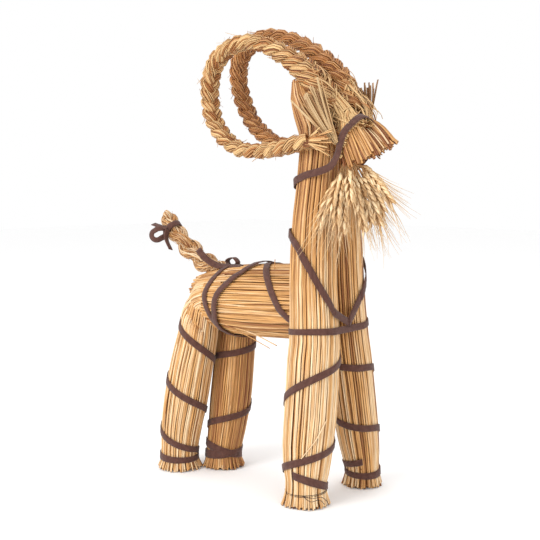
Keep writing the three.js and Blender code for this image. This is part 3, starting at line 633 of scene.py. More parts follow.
# The hip's straws leave a leg from one angle round through a turn, and land on the rump up to another
# angle over a spread. They end at a share of the trunk, under the ring of ribbon.
HIP_FROM = 205
HIP_TURN = 175
RUMP_UP_TO = 136
HIP_SPREAD = {RIGHT: 80, LEFT: 96}
HIP_ENDS = {RIGHT: 0.81, LEFT: 0.73}
RUMP_MIDDLE = np.array([-190.0, -16.0, 225.0])


def share_at(height):
    """The share along a hind leg at a height."""
    rises = [row[0] for row in HIND_STATIONS]
    return np.interp(np.asarray(height) / TRUNK_HEIGHT, rises, np.linspace(0, 1, len(rises)))


def skin_ends(side, count):
    """Outer straws end under the leg's upper ribbon, and on the inner side they run on under the trunk."""
    angle = (np.arange(count) + 0.5) * 360 / count
    angle = np.where(angle > LEG_SEAM[side], angle - 360, angle)
    tied = np.interp(angle, TIE_ANGLES[side], TIE_HEIGHTS[side]) - 1
    loose = rng.uniform(0, UNEVEN, count) * (side * angle > UNEVEN_FROM) * (side == LEFT)
    return np.where(side * angle > OUTER_FROM, share_at(tied + loose), INNER_END)


def hip_straws(leg, side, count, tint):
    """From under a hind leg's upper ribbon, straws lean over the rump to the ring of ribbon on it."""
    place = (np.arange(count) + rng.uniform(0, 1, count)) / count
    degrees = side * (HIP_FROM - HIP_TURN * place)
    on_leg = np.radians(degrees)
    on_rump = side * np.radians(RUMP_UP_TO - HIP_SPREAD[side] * (1 - place) + rng.uniform(-5, 5, count))
    tie = np.interp(degrees, TIE_ANGLES[side], TIE_HEIGHTS[side])
    proud = rng.uniform(-1.0, 0.5, count)
    stops = [on_bundle(leg, share_at(np.minimum(tie + rise, 0.96 * TRUNK_HEIGHT)), on_leg, proud + lift)[0]
             for rise, lift in ((-16, -4.5), (-2, -1.6), (16, -0.6))]
    under_ring = HIP_ENDS[side]
    back = np.clip((TRUNK_FRONT[0] - stops[2][:, 0]) / TRUNK_LENGTH, under_ring + 0.03, 0.985)
    stops += [on_bundle(trunk, back, on_rump, proud + 1.0)[0],
              on_bundle(trunk, back * 0.6 + under_ring * 0.4, on_rump * 0.93, proud + 0.6)[0],
              on_bundle(trunk, np.full(count, under_ring), on_rump * 0.87, proud - 2.2)[0]]
    stops[3] += (stops[2] - stops[3]) * 0.3
    lines = smooth_lines(np.stack(stops, axis=1), 15)
    half = straw_halves(count)
    return sheaf(lines, unit(lines - RUMP_MIDDLE), half[:, None], tint=tints_of(count, *tint))


hind_legs = {side: hind_bundle(side) for side in (RIGHT, LEFT)}
# The far (left) hind leg's browner tint is partly its straws' own colour and partly painted shade.
for side, word, tint in ((RIGHT, "right", (0.08, 0.75)), (LEFT, "left", (0.4, 1.1))):
    leg = hind_legs[side]
    straw_piece(f"hind_{word}_straws", [
        core(leg, (0.01, 0.86), 14),
        skin_straws(leg, 78, (0, skin_ends(side, 78)), tint, rows=15, ragged=(0.03, 0.01),
                    flare=(5.0, 0.13)),
        # Its straws under the skin are tinted browner too, as painted shade.
        skin_straws(leg, 72, (0, 0.93), (0.3, 1.1), 1.7, rows=15, ragged=(0.03, 0.03), flare=(4.0, 0.13)),
        end_straws(leg, FOOT_STRAWS, (0.0, 0.12), CUT_TINT, ragged=0.03),
        hip_straws(leg, side, 84, tint),
    ], leg_straw, f"hind_{word}_bundle")

# The rump's fringe runs past the trunk's end, in layers over its top: each one's depth and straws.
trunk_end = np.vstack([trunk[3:], 1.45 * trunk[-1] - 0.45 * trunk[-2]])
FRINGE = ((0.8, 37), (3.2, 34), (5.6, 31), (8, 28), (10.5, 25), (13, 22), (15.6, 19), (18.4, 16))
FRINGE_ARC = (-1.25, 1.0)
straw_piece("trunk_straws", [
    core(trunk, (0, 0.92), 10, sides=24),
    skin_straws(trunk, 130, (0, 1.0), (0.32, 0.98), rows=12, ragged=(0.0, 0.05)),
    skin_straws(trunk, 106, (0, 1), UNDER_SHADE_TINT, 2.1, rows=12, ragged=(0.0, 0.05)),
    end_straws(trunk, 460, (1, 0.85), CUT_TINT, radius=1.7, ragged=-0.04),
    *(skin_straws(trunk_end, count, (0, 1), (0.2, 0.9), depth, rows=6, ragged=(0.0, 0.3), arc=FRINGE_ARC)
      for depth, count in FRINGE),
], leg_straw, "trunk_bundle")


# Plaits

# How far a plait's strands swing aside and rise over each other, as shares of its half width.
SWING = 0.48
CROSSING = 0.3


def strand_line(stops, half_width, periods, size, strand, shares, deep):
    """The middle of one strand of a plait, which swings from side to side and passes over and under."""
    centre, across, outward = frame_on(stops, shares)
    turn = 2 * math.pi * (periods * shares + strand / 3)
    scale = (size(shares) * half_width)[..., None]
    aside, over = SWING * np.sin(turn)[..., None], CROSSING * deep * np.sin(2 * turn)[..., None]
    swing = aside * across + over * outward
    return centre + scale * swing, outward


def plait_straws(stops, half_width, periods, size, span, per_strand, rows, tint, deep=1.0):
    """Flattened straws round each strand of a plait, over the strand's inside, tinted brown as painted
    shade.
    """
    sheaves = []
    for strand in range(3):
        shares = spread(np.full(per_strand, span[0]), span[1], rows)
        middle, outward = strand_line(stops, half_width, periods, size, strand, shares, deep)
        along = unit(np.gradient(middle, axis=1))
        side = unit(np.cross(along, outward))
        face = np.cross(side, along)
        scale = size(shares) * half_width
        angle = (np.arange(per_strand) + rng.uniform(-0.3, 0.3, per_strand)) * 2 * math.pi / per_strand
        turn = angle[:, None] + 0.12 * np.sin(shares * 60 + rng.uniform(0, 6.3, per_strand)[:, None])
        c, s = np.cos(turn)[..., None], np.sin(turn)[..., None]
        sag = rng.normal(0, 0.35, per_strand)[:, None]
        wide = (0.5 * scale - 0.7 - sag)[..., None]
        thick = (0.4 * deep * scale - 0.5 - sag)[..., None]
        halves = straw_halves(per_strand, 1.0, 0.2, 0.6, 1.5)[:, None]
        sheaves.append(sheaf(middle + c * wide * side + s * thick * face, unit(c * 0.7 * side + s * face),
                             halves, halves * 0.5, tints_of(per_strand, *tint), sides=4, open_ends=False))
        # The strand's inside, tinted brown: painted shade between its straws.
        sheaves.append(sheaf(middle[:1], face[:1], 0.44 * scale[:1], 0.35 * deep * scale[:1], 0.9,
                             sides=8, open_ends=False))
    return sheaves


def stray_straws(stops, half_width, size, count, span, tint=(0.0, 0.8), reach=(7, 20)):
    """Loose ends that stick out of a plait, mostly to its sides."""
    share = rng.uniform(*span, count)
    shares = spread(share, share, 4)
    centre, across, outward = frame_on(stops, shares)
    along = np.cross(outward, across)
    side = rng.choice([-1, 1], count) * rng.uniform(0.6, 1.0, count)
    lift = rng.normal(0, 0.5, count)
    way = rng.choice([-1, 1], count) * rng.uniform(0.4, 1.6, count)
    out = unit(side[:, None, None] * across + lift[:, None, None] * outward)
    length = rng.uniform(*reach, count)[:, None]
    step = np.linspace(0, 1, 5)
    start = (size(shares) * half_width * 0.7)[..., None] * out
    bend = (length * step)[..., None] * along * way[:, None, None]
    bow = (length * 0.45 * step**1.5)[..., None] * out
    centres = centre + start + bend + bow
    half = rng.uniform(0.4, 0.9, count)[:, None] * (1 - 0.5 * step)
    return sheaf(centres, out, half, half * 0.6, tints_of(count, *tint), sides=4, open_ends=False)


HORN_PERIODS = 12
HORN_STRAWS = 26
HORN_KNOT = 0.965
TAIL_PERIODS = 1.7
TAIL_STRAWS = 30

# Points along each horn, as shares of its reach back, its rise and, outwards, its half width.
HORN_BASE = (44, 0, 457)
RIGHT_HORN = [[0, 0.16, 0.87], [0.11, 0.26, 1.07], [0.19, 0.43, 1.27], [0.27, 0.58, 1.4],
              [0.37, 0.71, 1.6], [0.51, 0.84, 1.8], [0.65, 0.91, 1.93], [0.78, 0.89, 2.07],
              [0.88, 0.8, 2.13], [0.93, 0.66, 2.27], [0.94, 0.49, 2.33], [0.91, 0.29, 2.47],
              [0.83, 0.12, 2.6], [0.7, 0, 2.8], [0.53, -0.03, 3.07], [0.38, -0.01, 3.33],
              [0.23, 0.03, 3.5], [0.1, 0.06, 3.55]]
LEFT_HORN = [[0, 0.17, 0.87], [0.06, 0.28, 1], [0.14, 0.4, 1.13], [0.21, 0.57, 1.27], [0.31, 0.72, 1.4],
             [0.455, 0.87, 1.53], [0.63, 0.98, 1.73], [0.78, 1, 1.87], [0.91, 0.92, 2],
             [0.97, 0.8, 2.07], [0.98, 0.64, 2.13], [0.95, 0.45, 2.2], [0.88, 0.26, 2.2],
             [0.79, 0.13, 2.2], [0.69, 0.05, 2.27], [0.52, 0.03, 2.5], [0.36, 0.04, 3],
             [0.23, 0.06, 3.4], [0.12, 0.06, 3.5]]


def horn_path(stops, side):
    return np.array([[HORN_BASE[0] - back * HORN_REACH, side * out * HORN_HALF_WIDTH,
                      HORN_BASE[2] + up * HORN_RISE] for back, up, out in stops])


# The bridle's near half from under the neck round to the forehead, as places and ways that it faces.
BRIDLE = [[(-47, -9, 404), (-1, -0.2, 0)], [(-43.5, -32.5, 408), (-0.75, -0.65, 0)],
          [(-32, -43.5, 414), (-0.35, -0.95, 0)], [(-11, -46.5, 421), (0, -1, 0)],
          [(11, -44.5, 426), (0.2, -0.95, 0)], [(26, -43, 432), (0.15, -0.95, 0)],
          [(35, -42, 444), (0, -0.95, 0.1)], [(39, -40.5, 459), (0.1, -0.95, 0.2)],
          [(41, -36, 473), (0.3, -0.8, 0.5)], [(44, -22, 486), (0.45, -0.5, 0.8)],
          [(45, -7, 494), (0.5, -0.15, 0.85)]]


ROOT_TAPER = np.array([1, 1.2, 1.3, 1.3, 1.2, 1.1, 1, 0.9, 0.8, 0.6])
BRUSH_TAPER = np.array([1, 1, 1, 1.1, 1.1, 1, 0.9, 0.7])


def horn_root(path, side, count, lowest, half, tint):
    """The straws of a horn before they are plaited: they fan down over the forehead, under the bridle."""
    arc = np.array([point for point, _ in BRIDLE[6:]]) * [1, -side, 1]
    faces = np.array([face for _, face in BRIDLE[6:]]) * [1, -side, 1]
    fan = lowest + (1.02 - lowest) * (np.arange(count) + rng.uniform(0.1, 0.9, count)) / count
    end, face = smooth_line(arc, fan), unit(smooth_line(faces, fan))
    start = rng.uniform(0.15, 0.21, count)
    centre, across, outward = frame_on(path, start)
    lean = (fan * 2 - 1) * -side
    root = centre + (lean * 9)[:, None] * across + rng.uniform(3, 9, count)[:, None] * outward
    middle, _, middle_up = frame_on(path, start * 0.5)
    middle = (middle + end) / 2 + (5 + 5 * rng.uniform(0, 1, count))[:, None] * middle_up
    tip = end + rng.uniform(2, 8, count)[:, None] * np.array([0.85, 0, -0.5]) - 2.4 * face
    under_bridle = end - rng.uniform(1.4, 3.0, count)[:, None] * face
    lines = smooth_lines(np.stack([root, middle, under_bridle, tip], axis=1), len(ROOT_TAPER))
    normals = np.broadcast_to((face + 0.6 * middle_up)[:, None], lines.shape)
    halves = (half * rng.uniform(0.7, 1.3, count))[:, None] * ROOT_TAPER
    return sheaf(lines, normals, halves, 0.6, tints_of(count, *tint), sides=5, open_ends=False)


def crease_straws(count=44):
    """Straws in the crease between the halves of the head, from the forehead to just past the bridle."""
    aside, level = rng.uniform(-1, 1, (2, count))
    back = np.stack([rng.uniform(4, 14, count), aside * 9, 487 + 5 * level], axis=-1)
    aside = aside * 13
    front = np.stack([rng.uniform(46, 53, count), aside, 484.5 + 4 * level - 0.02 * aside**2], axis=-1)
    lines = back[:, None] + (front - back)[:, None] * np.linspace(0, 1, 7)[:, None]
    halves = rng.uniform(0.9, 1.6, count)[:, None]
    return sheaf(lines, np.broadcast_to([0.2, 0.0, 1.0], lines.shape), halves,
                 tint=tints_of(count, -0.2, 0.7))


def forelock(side, count=64):
    """Loose leaves and short straws in a tangle over the forehead, between the horns and the bridle."""
    path = horn_paths[side]
    share = rng.uniform(0.02, 0.17, count)
    centre, across, outward = frame_on(path, share)
    spin = rng.uniform(-1.9, 1.9, count)
    face = unit(np.sin(spin)[:, None] * across + np.cos(spin)[:, None] * outward)
    reach = HORN_HALF_WIDTH * rng.uniform(0.85, 1.35, count)
    way = unit(np.array([0.35, 0.0, -0.9]) + rng.normal(0, 0.5, (count, 3)))
    way = unit(way - (way * face).sum(1)[:, None] * face * 0.8)
    length = rng.uniform(10, 30, count)
    step = np.linspace(-0.5, 0.5, 7)
    lines = (centre + reach[:, None] * face)[:, None] + (length[:, None] * step)[..., None] * way[:, None]
    lines -= (length[:, None] * 0.5 * step**2)[..., None] * face[:, None]
    halves = rng.uniform(0.7, 2.6, count)[:, None] * np.cos(step * 2.6)
    return sheaf(lines, np.broadcast_to(face[:, None], lines.shape), halves, 0.4,
                 tints_of(count, -0.9, 0.5), sides=5, open_ends=False)


def horn_end(path, side, tint, count=34):
    """Past the end of its plait, a horn's straws are short and spread like a brush against the neck."""
    knot = frame_on(path, HORN_KNOT)[0]
    spin = rng.uniform(0, 2 * math.pi, count)
    lean = rng.uniform(0.0, 0.75, count)
    inward = np.abs(np.cos(spin) * np.sin(lean)) * 0.35
    way = np.stack([np.cos(lean), -side * inward, np.sin(spin) * np.sin(lean)], axis=-1)
    length = rng.uniform(14, 38, count)
    step = np.linspace(-0.3, 1, len(BRUSH_TAPER))
    lines = knot + (length[:, None] * step)[..., None] * way[:, None]
    lines += 3.2 * np.stack([np.zeros(count), np.cos(spin), np.sin(spin)], axis=-1)[:, None]
    halves = rng.uniform(0.8, 1.7, count)[:, None] * BRUSH_TAPER
    return sheaf(lines, np.broadcast_to([0.0, side, 0.3], lines.shape), halves, 0.5,
                 tints_of(count, *tint), sides=5, open_ends=False)


def horn_size(swell):
    """A horn's girth along it, fuller near its root."""
    return lambda share: 0.95 + swell * np.exp(-(((share - 0.14) / 0.13) ** 2))


horn_paths = {RIGHT: horn_path(RIGHT_HORN, RIGHT), LEFT: horn_path(LEFT_HORN, LEFT)}
for side, word, swell, tint in ((RIGHT, "right", 0.5, (-0.15, 0.8)), (LEFT, "left", 0.32, (0.3, 1.0))):
    path, size = horn_paths[side], horn_size(swell)
    straw_piece(f"horn_{word}_plait_straws", [
        *plait_straws(path, HORN_HALF_WIDTH * 1.05, HORN_PERIODS, size, (0.07, HORN_KNOT), HORN_STRAWS,
                      146, tint),
        horn_end(path, side, tint),
        stray_straws(path, HORN_HALF_WIDTH, size, 170, (0.05, 0.97), tint=tint),
        horn_root(path, side, 46, 0.3, 1.3, (-0.3, 0.7)),
        horn_root(path, side, 20, 0.0, 2.4, (-0.8, 0.2)),
        forelock(side),
        *([crease_straws()] if side == RIGHT else []),
    ], plait_straw, f"horn_{word}_plait")

TAIL_TIE = 0.735
TAIL_ROOT = (TRUNK_FRONT[0] - 0.859 * TRUNK_LENGTH, TRUNK_FRONT[1] - 12, TRUNK_HEIGHT + 33)
TAIL_STOPS = [[0, -0.01, 0], [0.22, 0.06, -1.5], [0.51, 0.225, -3], [0.79, 0.455, -4], [0.885, 0.6, -4]]
tail_path = np.array([[TAIL_ROOT[0] - back * TAIL_LENGTH, TAIL_ROOT[1] + aside,
                       TAIL_ROOT[2] + up * TAIL_LENGTH] for back, up, aside in TAIL_STOPS])


def tail_size(share):
    """The tail's girth along it: it thins towards its end and is pinched by its ribbon."""
    pinch = 1 - 0.2 * np.exp(-(((share - TAIL_TIE) / 0.05) ** 2))
    return (1.1 - 0.34 * np.maximum(0, (share - 0.55) / 0.45)) * pinch


straw_piece("tail_plait_straws", [
    *plait_straws(tail_path, TAIL_HALF_WIDTH * 1.18, TAIL_PERIODS, tail_size, (0, 1), TAIL_STRAWS,
                  40, (0.0, 0.85), deep=1.25),
    stray_straws(tail_path, TAIL_HALF_WIDTH * 1.1, tail_size, 70, (0.1, 0.97), reach=(4, 12)),
], leg_straw, "tail_plait")


# Ears and beard

EAR_ROOTS = {RIGHT: (34, -41.5, 460), LEFT: (17, 33, 462)}
EAR_LEAN = {RIGHT: (-45, -2, 75), LEFT: (-13, 18, 83)}
EAR_STOPS = [[0, 0.14, 0.24], [0.35, 0.62, 0.26], [0.7, 1.05, 0.24], [1, 1.28, 0.2]]
EAR_BOW = 4
EAR_ROWS = 9


def ear_leaves(side, count, tint, layer, half, shortest=0.86):
    """Flat blades in a fan, narrow where the bridle holds them and torn at the tips."""
    lean = unit(np.array(EAR_LEAN[side], float)) * EAR_LENGTH
    stations = []
    for share, depth, width in EAR_STOPS:
        bow = side * EAR_BOW * math.sin(math.pi * share)
        place = np.array(EAR_ROOTS[side]) + share * lean + [0, bow, 0]
        stations.append([*place, depth * EAR_HALF_WIDTH[side], width * EAR_HALF_WIDTH[side]])
    stations = np.array(stations)
    shares = spread(0, rng.uniform(shortest, 1, count), EAR_ROWS)
    centre, across, outward = frame_on(stations[:, :3], shares)
    depth, width = np.moveaxis(smooth_line(stations[:, 3:], shares), -1, 0)
    fan = np.linspace(-1, 1, count)[:, None] + rng.uniform(-0.12, 0.12, (count, 1))
    step = np.linspace(0, 1, EAR_ROWS + 1)
    curl = rng.normal(0, 2.4, (count, 1)) * step**2
    level = side * layer + rng.uniform(-0.4, 0.4, (count, 1)) * width + side * np.abs(curl)
    centres = centre + (fan * depth + curl)[..., None] * outward + level[..., None] * across
    taper = 0.55 + 0.45 * np.sin(math.pi * np.minimum(step * 0.8 + 0.1, 1))
    halves = half * taper * rng.uniform(0.6, 1.4, (count, 1))
    normals = across + 0.6 * rng.normal(0, 1, (count, 1, 1)) * outward
    return sheaf(centres, normals, halves, 0.35, tints_of(count, *tint), open_ends=False)


for side, word, count, pale, brown in ((RIGHT, "right", 15, (-0.2, 0.35), (0.6, 1.3)),
                                       (LEFT, "left", 8, (0.4, 1.1), (0.9, 1.4))):
    straw_piece(f"ear_{word}_leaves", [
        ear_leaves(side, count + 4, brown, layer=-1.4, half=1.7, shortest=0.7),
        ear_leaves(side, count, pale, layer=0.8, half=2.3),
    ], leaf_straw, f"ear_{word}_fan")

BEARD_KNOT = np.array([33, -3, 441])
HUSK_RANKS = [0, math.pi, 0.5 * math.pi, 0.1, math.pi - 0.1, -0.5 * math.pi]
HUSK_LENGTH = 12.5
HUSK_HALF_WIDTH = 2.7
HUSK_HALF_DEPTH = 1.9
AWN_HALF = 0.42
AWN_REACH = 105

# Each ear of wheat: the way that it hangs and its tilt from plumb in degrees, and its share of the length.
WHEAT_EARS = [[-123, 22, 0.96], [-92, 23, 0.7], [-126, 17, 0.83], [-60, 10, 1], [-78, 16, 0.88],
              [-3, 14, 0.82], [9, 21, 0.9], [12, 27, 0.99], [22, 33, 0.84], [19, 44, 0.82],
              [20, 48, 0.6], [-6, 17, 1], [-41, 33, 0.64], [60, 26, 0.86], [95, 20, 0.8]]


def wheat_ear(turn, tilt, share):
    """A stem, its husks in four ranks and an awn from each husk."""
    heading, length = math.radians(turn), share * BEARD_LENGTH
    root = BEARD_KNOT + np.array([-3.0, 9 * math.sin(heading) - 8, 0])

    def line(along):
        lean = np.radians(tilt * (1.25 - 0.25 * along))
        out = along * length * np.sin(lean)
        down = along * length * np.cos(lean)
        return root + np.stack([out * math.cos(heading), out * math.sin(heading), -down], axis=-1)

    stem = spread(0, 0.95, 8)
    sheaves = [sheaf(line(stem), np.broadcast_to([0.0, 1.0, 0.01], (1, 9, 3)), 1.1, tint=0.3, sides=5,
                     open_ends=False)]
    count = 4 * len(HUSK_RANKS)
    place = np.linspace(0.28, 0.92, count)
    base, ahead = line(place), unit(line(place + 0.01) - line(place - 0.01))
    side = unit(np.cross(ahead, [0.3, 0.9, 0.2]))
    up = np.cross(side, ahead)
    spin = np.tile(HUSK_RANKS, 4) + rng.normal(0, 0.15, count)
    radial = np.cos(spin)[:, None] * side + np.sin(spin)[:, None] * up
    taper = np.where(place > 0.8, 1 - (place - 0.8) * 3, 1.0)[:, None, None]
    step = np.linspace(0, 1, 5)
    husk_length = HUSK_LENGTH * rng.uniform(0.85, 1.1, (count, 1, 1))
    husk = (base[:, None] + husk_length * step[:, None] * ahead[:, None]
            + taper * (1.2 + 4.6 * np.sin(step * 1.6))[:, None] * radial[:, None])
    swell = np.sin(math.pi * (step * 0.86 + 0.1)) * rng.uniform(0.85, 1.15, (count, 1)) * taper[..., 0]
    sheaves.append(sheaf(husk, np.broadcast_to(radial[:, None], husk.shape), HUSK_HALF_WIDTH * swell,
                         HUSK_HALF_DEPTH * swell, tints_of(count, 0.0, 0.9), open_ends=False))
    lean_out = rng.uniform(0.05, 0.3, (count, 1))
    direction = unit(ahead + lean_out * radial)
    reach = rng.uniform(22, 48, count)
    room = (AWN_REACH - husk[:, -1, 0]) / np.maximum(direction[:, 0], 1e-3)
    reach = np.minimum(reach, np.where(direction[:, 0] > 0.01, room, 99)).clip(4)
    steps = np.linspace(0, 1, 4)
    awn = (husk[:, -1][:, None] + (reach[:, None] * steps)[..., None] * direction[:, None]
           + (reach[:, None] * 0.12 * steps**2)[..., None] * radial[:, None])
    sheaves.append(sheaf(awn, np.broadcast_to(radial[:, None], awn.shape), AWN_HALF * (1 - 0.7 * steps),
                         tint=tints_of(count, 0.0, 0.6), sides=3, open_ends=False))
    return sheaves


straw_piece("beard_ears", [part for row in WHEAT_EARS for part in wheat_ear(*row)],
            wheat_straw, "beard_wheat")


def loose_line(stops, half, tint=0.3):
    """One straw by itself along its stops."""
    line = smooth_lines([stops], 12)
    return sheaf(line, np.broadcast_to([0.6, -0.8, 0.1], line.shape), half, tint=tint)


THREAD_HALF = 0.4
THREAD_POINTS = 90
THREAD_KNOT = 62
THREAD_END = np.array([[0, 0, 0], [14, 3, -1], [26, 8, 2], [34, 10, -3]])


def ankle_thread():
    """A dark thread wound twice round the near front foot, with its ends loose."""
    turn = np.radians(np.linspace(-200, 520, THREAD_POINTS))
    height = np.linspace(17, 20, THREAD_POINTS) + 1.2 * np.sin(turn)
    share = np.interp(height, [0, FRONT_STATIONS[1][0] * NECK_HEIGHT], [0, 1 / (len(FRONT_STATIONS) - 1)])
    wound = on_bundle(front_legs[RIGHT], share, turn, 0.3)[0]
    knot = wound[THREAD_KNOT]
    drop = np.array([[0, 0, 0], [0, 0, 5], [0, 0, 5], [0, 0, 5]])
    lines = (wound, smooth_lines([knot + THREAD_END], 14)[0],
             smooth_lines([knot + THREAD_END * [0.8, 1.2, 1] - drop], 14)[0])
    return [sheaf(line[None], np.broadcast_to([0.1, 0.2, 1.0], (1, len(line), 3)), THREAD_HALF, tint=1.0,
                  sides=5, open_ends=False) for line in lines]


straw_piece("ankle_thread", ankle_thread(), dark_thread)

# Two loose straws under the belly, one on the back and one that leans over the near front leg.
over_leg = on_bundle(front_legs[RIGHT], np.array([0.18, 0.225, 0.262]), np.radians([-62, -35, -12]), 1.2)[0]
straw_piece("loose_straws", [
    loose_line([(-150, -46, 214), (-110, -44, 208), (-62, -47, 197)], 0.8),
    loose_line([(-158, -50, 216), (-110, -48, 203), (-70, -52, 193)], 0.6, 0.6),
    loose_line([(-82, -30, 296), (-81, -30, 309)], 0.6, 0.5),
    loose_line(over_leg, 0.8, 0.1),
], leg_straw)


# Ribbons

def tape_piece(name, bands, node):
    """Woven tape laid over grids of points, one grid for each band, then given its thickness."""
    bm = bmesh.new()
    lay = bm.loops.layers.uv.new("weave")
    for points, closed in bands:
        rows, columns = points.shape[:2]
        grid = bmesh.ops.create_grid(bm, x_segments=rows - 1, y_segments=columns - 1, size=0.5)["verts"]
        steps = np.linalg.norm(np.diff(points[:, columns // 2], axis=0), axis=-1)
        length = np.concatenate([[0], np.cumsum(steps)])
        for vert in grid:
            row = round((vert.co.x + 0.5) * (rows - 1))
            column = round((vert.co.y + 0.5) * (columns - 1))
            for loop in vert.link_loops:
                loop[lay].uv = (length[row], RIBBON_WIDTH * column / (columns - 1))
            vert.co = Vector((points[row, column] + ORIGIN) / 1000)
        if closed:
            bmesh.ops.remove_doubles(bm, verts=grid, dist=2e-5)
    for face in bm.faces:
        face.smooth = True
    mesh = bpy.data.meshes.new(name)
    bm.to_mesh(mesh)
    bm.free()
    piece = finished(name, mesh, brown_tape, node)
    thick = piece.modifiers.new("thickness", "SOLIDIFY")
    thick.thickness = RIBBON_THICKNESS / 1000
    thick.offset = 1


# The columns of points across a band, from one edge to the other.
COLUMNS = np.linspace(-1, 1, 4)


def wound_band(stations, route, closed=False, layer=0.0, step=6):
    """A band wound on a bundle along [angle in degrees, share of its length], joined smoothly."""
    route = np.array(route, float)
    rows = max(int(abs(route[-1, 0] - route[0, 0]) / step), 12)
    line = smooth_line(np.column_stack([np.radians(route[:, 0]), route[:, 1], np.zeros(len(route))]),
                       np.linspace(0, 1, rows + 1))
    fine = np.linspace(0, 1, 400)
    axis = smooth_line(stations[:, :3], fine)
    travelled = np.concatenate([[0], np.cumsum(np.linalg.norm(np.diff(axis, axis=0), axis=1))])
    whole = travelled[-1]
    turn = np.sign(route[-1, 0] - route[0, 0])
    slope = np.gradient(line, axis=0)
    run = np.abs(slope[:, 0]) * smooth_line(stations[:, 3:], 0.5)[1]
    level = np.maximum(run / np.hypot(run, slope[:, 1] * whole), 0.5)
    half = RIBBON_WIDTH / 2 / level / whole
    share = np.clip(line[:, 1][:, None] + turn * COLUMNS * half[:, None], 0, 1)
    shares = np.interp(share * whole, travelled, fine)
    angles = line[:, 0][:, None] + np.zeros(len(COLUMNS))
    ripple = 0.25 * np.sin(angles * 31 + 3 * np.sin(angles * 5))
    points = on_bundle(stations, shares, angles, RIBBON_GAP + layer + ripple)[0]
    if closed:
        points[-1] = points[0]
    return points, closed


def free_band(stops, closed=False, rows=40):
    """A band through free points, each with the way that its face looks."""
    places = np.array([point for point, _ in stops], float)
    faces = unit(np.array([face for _, face in stops], float))
    if closed:
        places, faces = (np.vstack([values[-2:], values, values[:3]]) for values in (places, faces))
        shares = (2 + np.linspace(0, 1, rows + 1) * len(stops)) / (len(places) - 1)
    else:
        shares = np.linspace(0, 1, rows + 1)
    path, face = smooth_line(places, shares), unit(smooth_line(faces, shares))
    along = unit(np.gradient(path, axis=0))
    sideways = unit(np.cross(face, along))
    points = path[:, None] + (COLUMNS * RIBBON_WIDTH / 2)[:, None] * sideways[:, None]
    if closed:
        points[-1] = points[0]
    return points, closed


# Each leg's ribbon from its top down: degrees from the leg's front towards its left, millimetres up it.
LEG_ROUTES = {
    "front_right": [[60, 196], [43.5, 189], [-46, 162], [-136, 132], [-226, 105], [-316, 81],
                    [-406, 60], [-496, 45], [-586, 31], [-676, 25], [-740, 31], [-804, 39]],
    "front_left": [[-150, 190], [-136, 184], [-46, 172], [43.5, 161], [133, 130], [223, 105], [313, 90],
                   [403, 76], [493, 46], [583, 24], [673, 18], [763, 20], [853, 27], [943, 34],
                   [1033, 40]],
    "hind_right": [[-170, 221], [-136, 212], [-46, 188], [43.5, 165], [133, 146], [223, 129],
                   [313, 110], [403, 91], [493, 73], [583, 56], [673, 39], [763, 28], [853, 22],
                   [943, 19], [1033, 17], [1123, 18], [1213, 26], [1290, 34]],
    "hind_left": [[60, 186], [43.5, 182], [-46, 168], [-136, 154], [-226, 122], [-316, 92], [-406, 74],
                  [-496, 57], [-586, 40], [-676, 29], [-766, 22], [-856, 19], [-946, 17], [-1036, 18],
                  [-1126, 26], [-1216, 34]],
}
bound_legs = {"front_right": front_legs[RIGHT], "front_left": front_legs[LEFT],
              "hind_right": hind_legs[RIGHT], "hind_left": hind_legs[LEFT]}


def path_length(stations):
    line = smooth_line(stations[:, :3], np.linspace(0, 1, 300))
    return np.linalg.norm(np.diff(line, axis=0), axis=1).sum()


for name, route in LEG_ROUTES.items():
    leg = bound_legs[name]
    whole = path_length(leg)
    tape_piece(f"{name}_tape", [wound_band(leg, [[angle, height / whole] for angle, height in route])],
               f"{name}_ribbon")


def neck_band(right_heights, left_heights, front, back, layer=0.0):
    """A band round both front bundles: it hugs each and runs straight over the creases between them.

    Its heights are given round the right one from the front, round the left one, and at both creases."""
    flat, arc = 9, 46
    turn = np.linspace(0, 180, arc)
    stops = np.linspace(0, 180, len(right_heights))
    on_right, on_left = (np.interp(turn, stops, heights) for heights in (right_heights, left_heights))

    def over(first, last):
        return np.linspace(first, last, flat)

    # The band leans wholly on one bundle along its skin, and passes from it to none over a crease.
    near, far = np.full(arc, RIGHT), np.full(arc, LEFT)
    lean = np.concatenate([over(0, RIGHT), near, over(RIGHT, 0), over(0, LEFT), far, over(LEFT, 0)])
    angle = np.radians(np.concatenate([np.full(flat, -180), -turn[::-1], np.zeros(2 * flat), turn,
                                       np.full(flat, 180)]))
    height = np.concatenate([over(back, on_right[-1]), on_right[::-1], over(on_right[0], front),
                             over(front, on_left[0]), on_left, over(on_left[-1], back)])
    heights_up = np.array([row[0] for row in FRONT_STATIONS]) * NECK_HEIGHT

    def points_at(heights):
        shares = np.interp(heights, heights_up, np.linspace(0, 1, len(heights_up)))
        angles = angle[:, None] + np.zeros(heights.shape[1])
        ripple = 0.2 * np.sin(angles * 33)
        right, left = (on_bundle(front_legs[side], shares, angles, RIBBON_GAP + layer + ripple)[0]
                       for side in (RIGHT, LEFT))
        mix = ((lean + 1) / 2)[:, None, None]
        points = right * (1 - mix) + left * mix
        points[..., 0] -= (np.cos(angle) * 1.6 * (1 - lean**2))[:, None]
        return points

    middle = points_at(height[:, None])[:, 0]
    run = np.linalg.norm(np.gradient(middle[:, :2], axis=0), axis=-1) + 0.05
    slope = np.clip(np.convolve(np.abs(np.gradient(height)) / run, np.ones(5) / 5, "same"), 0, 2.2)
    points = points_at(height[:, None] + COLUMNS * (RIBBON_WIDTH / 2 * np.hypot(1, slope))[:, None])
    points[-1] = points[0]
    return points, True


